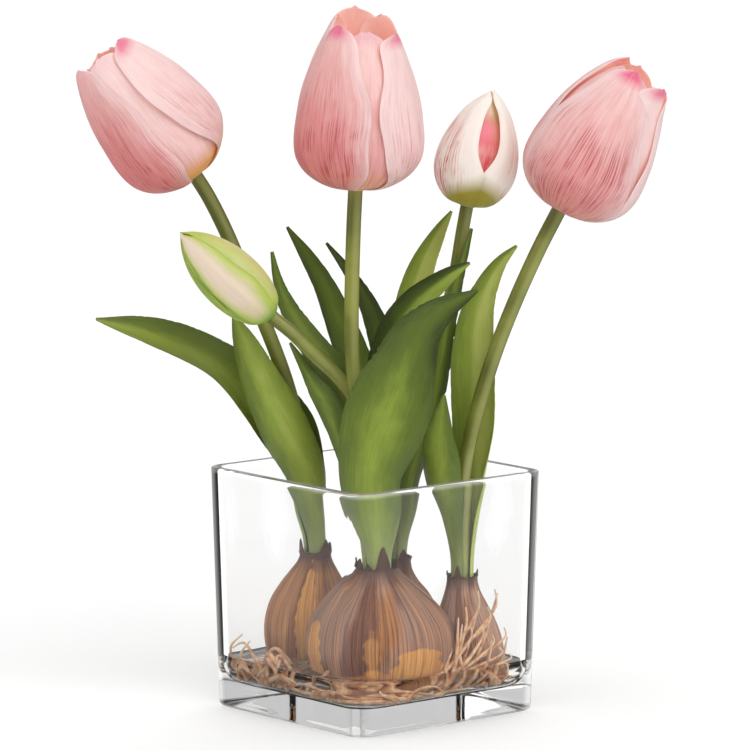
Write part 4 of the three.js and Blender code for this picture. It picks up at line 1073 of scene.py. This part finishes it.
def petal_finish(name, colours, fineness=1.0):
    """Petal skin: pale to deep, veined along, warm at the foot, blotched at the tip, with a glow painted on
    for light shining through.
    """
    pale, salmon, vein_colour, warm_colour, blotch_colour = (tint(*colour) for colour in colours)
    finish, start = new_finish(name)
    vein, wash, mark, inner_glow = (start.note(label, out) for label, out in zip(BLOOM_NOTES, (1, 1, 2, 2)))
    broad = vein.stretch(7, 1.6, 3).grain(1.7, 3, 0.55)
    lines = vein.stretch(24 * fineness, 0.42, 5).grain(2.2, 4, 0.62)
    fine = vein.stretch(60 * fineness, 0.7, 7).grain(2.0, 2, 0.5)
    patch = vein.stretch(2.2, 1.3, 4).grain(1.8, 2, 0.5).rise(0.36, 0.62)
    colour = (wash.part(0) + (broad - 0.5) * 0.4).rise(0, 1).mix(pale, salmon)
    feather = lines.rise(0.46, 0.61) * 0.85 + fine.rise(0.5, 0.7) * 0.35
    streak = wash.part(1) * (0.3 + patch * 0.7) * feather
    colour = (streak.held() * 0.9).mix(colour, vein_colour)
    colour = wash.part(2).mix(colour, warm_colour)
    colour = (mark * (0.55 + broad * 0.6)).held().mix(colour, blotch_colour)
    # A glow painted through emission, standing in for light that shines through the thin petals.
    painted_glow = (inner_glow * 0.3).mix((0, 0, 0, 1), tint(240, 190, 168))
    lay(start, lines * 0.6 + fine * 0.4, 0.00022, Base_Color=colour, Roughness=0.5, Sheen_Weight=0.1,
        Subsurface_Weight=0.3, Subsurface_Scale=0.003, Subsurface_Radius=(1.0, 0.6, 0.5),
        Emission_Color=painted_glow, Emission_Strength=0.9)
    return finish


def petal_body(bloom, cup, petal, gap, seed, waves=0.5, climb=0.3, hug=0.0, side=0):
    """One petal as a closed body with its colour notes; side puts its veins left or right (-1, 1)."""
    deep, streak, warm, blotch = petal[4:8]
    sheet, u, v = petal_sheet(bloom, cup, petal, gap, seed, waves, 0.6 if gap else hug)
    points, faces = blade(sheet, PETAL_THICK * (1 - 0.7 * np.abs(u) ** 4) * (1 - 0.55 * v ** 5))
    margin = np.clip(np.abs(u) ** 3 + 0.4 * v ** 6, 0, 1)
    depth = deep * (1 - 0.8 * margin) + np.clip(deep * 4, 0, 0.2)
    depth = depth * np.interp(v, [0, 0.3, 0.6, 1], [1, 1, 0.65, 0.4])
    veins = streak * np.clip(1.15 - 0.8 * np.abs(u) ** 3, 0, 1)
    veins = veins * np.interp(v, [0, 0.06, 0.2, 0.45, 0.7, 1], [1.1, 1.4, 1.3, 0.9, 0.35, 0.15])
    veins = veins * (np.clip(0.9 + 1.5 * side * u, 0.03, 1.8) if side else 1)
    foot = warm * np.clip((climb * (1 - 0.5 * side * u) - v) / 0.12, 0, 1)
    tip = blotch * np.clip((v - 0.84) / 0.08, 0, 1) * np.clip(1.5 - 1.5 * np.abs(u), 0, 1)
    # A glow painted on one face of each petal, stronger up the petal, for light shining through.
    inner_glow = np.stack([np.clip(v * 1.6, 0, 1), v * 0]).ravel()
    wash = both_faces(depth, veins, foot)
    return points, faces, both_faces(u, v * 3, u * 0 + seed), wash, np.tile(tip.ravel(), 2), inner_glow


def seat_body(wash):
    """The seat as a closed body with its colour notes."""
    points, faces = lathe(SEAT, 40)
    plain = np.zeros(len(points))
    return points, faces, points * 0.1, np.tile(wash, (len(points), 1)), plain, plain


def add_bloom(name, bloom, bodies, finish):
    """Closed bodies in the bloom's own upright frame, leant and set on their stem as one mesh."""
    faces, first = [], 0
    for body, body_faces, *_ in bodies:
        order = 1 if looks_out(body, body_faces) else -1
        faces += [tuple(i + first for i in face[::order]) for face in body_faces]
        first += len(body)
    points, _, *values = (list(part) for part in zip(*bodies))
    side, ahead = np.radians(bloom["lean"])
    x, y, z = np.concatenate(points).T
    y, z = turned(y, z, ahead)
    x, z = turned(x, z, -side)
    placed = from_front(np.stack([x, y, z], -1) + bloom["base"])
    return add_piece(name, placed, faces, finish, dict(zip(BLOOM_NOTES, map(np.concatenate, values))))


PINK = [(244, 211, 208), (212, 126, 122), (172, 44, 62), (228, 158, 70), (226, 66, 122)]
petal_pink = petal_finish("petal_pink", PINK)
for number, (side, bloom) in enumerate(TULIPS.items()):
    bodies = []
    for layer, gap in (("outer", 0), ("inner", LAYER_GAP)):
        for petal in bloom[layer]:
            bodies.append(petal_body(bloom, OPEN_CUP, petal, gap, len(bodies) + 7 * number))
    piece = add_bloom("bloom_" + side, bloom, bodies + [seat_body([0.2, 0, 0.8])], petal_pink)
    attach(piece, "root")
    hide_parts("tulip_" + side)

# ---- Half-open bud ---------------------------------------------------------
# A cream-white bud whose three outer petals have parted in front, showing the rolled pink
# and orange petals inside.
HALF_OPEN_CUP = [
    [0.01, 0.04], [0.04, 0.17], [0.12, 0.26], [0.24, 0.322], [0.38, 0.338], [0.54, 0.315],
    [0.7, 0.255], [0.84, 0.175], [0.94, 0.085], [1, 0.015],
]
PARTED_SPAN = [64, 66, 66, 64, 55, 42, 37, 41, 58, 68]
WHOLE_SPAN = [60, 64, 66, 66, 66, 66, 66, 66, 66, 60]
HALF_OPEN = {
    "base": [38, 21, 205.2], "lean": [12, 0], "height": 49.5, "fullness": 1,
    "outer": [
        [-45, 1, 0.98, 0, -0.1, 1.7, 1.0, 0, WHOLE_SPAN, PARTED_SPAN],
        [69, 1, 1, 0, -0.25, 0.9, 1.0, 0, PARTED_SPAN, WHOLE_SPAN],
        [188, 1, 0.98, 0, -0.1, 0.8, 1.0, 0, WHOLE_SPAN, WHOLE_SPAN],
    ],
}
SLIT = 12  # bearing of the gap between the parted petals
CREAM = [(252, 242, 230), (230, 128, 142), (196, 44, 66), (160, 148, 40), (204, 34, 56)]
petal_cream = petal_finish("petal_cream", CREAM, 0.7)
bodies = []
for petal, side in zip(HALF_OPEN["outer"], (-1, 1, 0)):
    bodies.append(petal_body(HALF_OPEN, HALF_OPEN_CUP, petal, 0, 30 + len(bodies), 0.3, 0.29, 0, side))
core_outline = through(HALF_OPEN_CUP, np.linspace(0, 1, 60))
points, faces = lathe(core_outline[:, ::-1] * HALF_OPEN["height"] * [0.86, 0.93], 96)
angle = np.degrees(np.arctan2(points[:, 0], -points[:, 1]))
height = points[:, 2] / HALF_OPEN["height"]
points[:, :2] *= (1 + 0.03 * np.sin(np.radians(angle * 3) + height * 4))[:, None]
mark = np.clip((0.66 - height) / 0.2, 0, 1) * np.clip(1.2 + (angle - SLIT) / 24, 0.35, 1)
pink = np.clip(1.5 - np.abs(height - 0.66) / 0.14, 0.25, 1)
ochre = np.clip((height - 0.7) / 0.2, 0, 0.35) + 0.3 * np.clip((angle - SLIT) / 16, 0, 1)
flat = 0 * angle
vein, wash = np.stack([angle / 60, height * 3, flat + 9], -1), np.stack([pink, flat + 0.1, ochre], -1)
# The rolled core gets a faint painted glow.
bodies += [(points, faces, vein, wash, mark, flat + 0.1), seat_body([0, 0, 0.9])]
piece = add_bloom("half_open_bloom", HALF_OPEN, bodies, petal_cream)
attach(piece, "root")
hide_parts("bud_half_open")

# ---- Closed bud ------------------------------------------------------------
# A tight bud of three overlapping petals, cream pink in front and still green above and at the
# foot.
CLOSED_CUP = [
    [0.01, 0.04], [0.05, 0.13], [0.14, 0.19], [0.28, 0.228], [0.44, 0.24], [0.6, 0.224],
    [0.76, 0.18], [0.9, 0.11], [1, 0.03],
]
BUD_SPAN = [64, 66, 68, 68, 67, 66, 66, 66, 66, 66]
BROAD_SPAN = [70, 78, 84, 86, 86, 84, 82, 80, 74, 66]
CLOSED = {
    "base": [-41.8, -19.2, 165], "lean": [-47, 5], "height": 51, "fullness": 1,
    "outer": [
        [-8, 1.03, 0.99, 0.06, 0.1, 0.1, 0.8, 0,
         [60, 54, 46, 41, 38, 36, 35, 35, 38, 44], [60, 58, 54, 50, 48, 46, 45, 47, 54, 64]],
        [116, 1.02, 1, 0.1, 0.75, 0.1, 0.7, 0, BROAD_SPAN, BUD_SPAN],
        [-124, 1.0, 0.98, 0.08, 1.0, 1.8, 0.6, 0, BUD_SPAN, BROAD_SPAN],
    ],
}
GREEN = [(232, 206, 186), (176, 194, 80), (84, 100, 24), (134, 178, 58), (216, 176, 104)]
petal_green = petal_finish("petal_green", GREEN, 0.7)
bodies = []
for number, petal in enumerate(CLOSED["outer"]):
    body = petal_body(CLOSED, CLOSED_CUP, petal, 0.5 if number else 0, 50 + number, 0.15, 0.22, 0.5)
    vein, wash, mark, inner_glow = body[2:]
    across, along = vein[:, 0], vein[:, 1] / 3
    inner_glow[:] = 0
    if number == 0:  # the front petal: cream, green at its margins and foot
        wash[:, 0] = 0.12 + 1.3 * np.clip(np.abs(across) - 0.3, 0, 1) + 0.7 * np.clip(1 - along / 0.42, 0, 1)
    elif number == 1:  # the upper petal: green with a warm stripe
        wash[:, 0] = 1.0 - 0.35 * np.sin(math.pi * along)
        mark[:] = 0.3 * np.exp(-((across + 0.45) / 0.25) ** 2) * np.sin(math.pi * along)
    else:  # the lower petal: green, darkened by strong veins, partly its own and partly painted shade beneath
        wash[:] = [1.0, 2.4, 0.2]
        mark[:] = 0
    bodies.append(body)
piece = add_bloom("closed_bloom", CLOSED, bodies + [seat_body([0.5, 0, 1])], petal_green)
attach(piece, "root")
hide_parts("bud_closed")
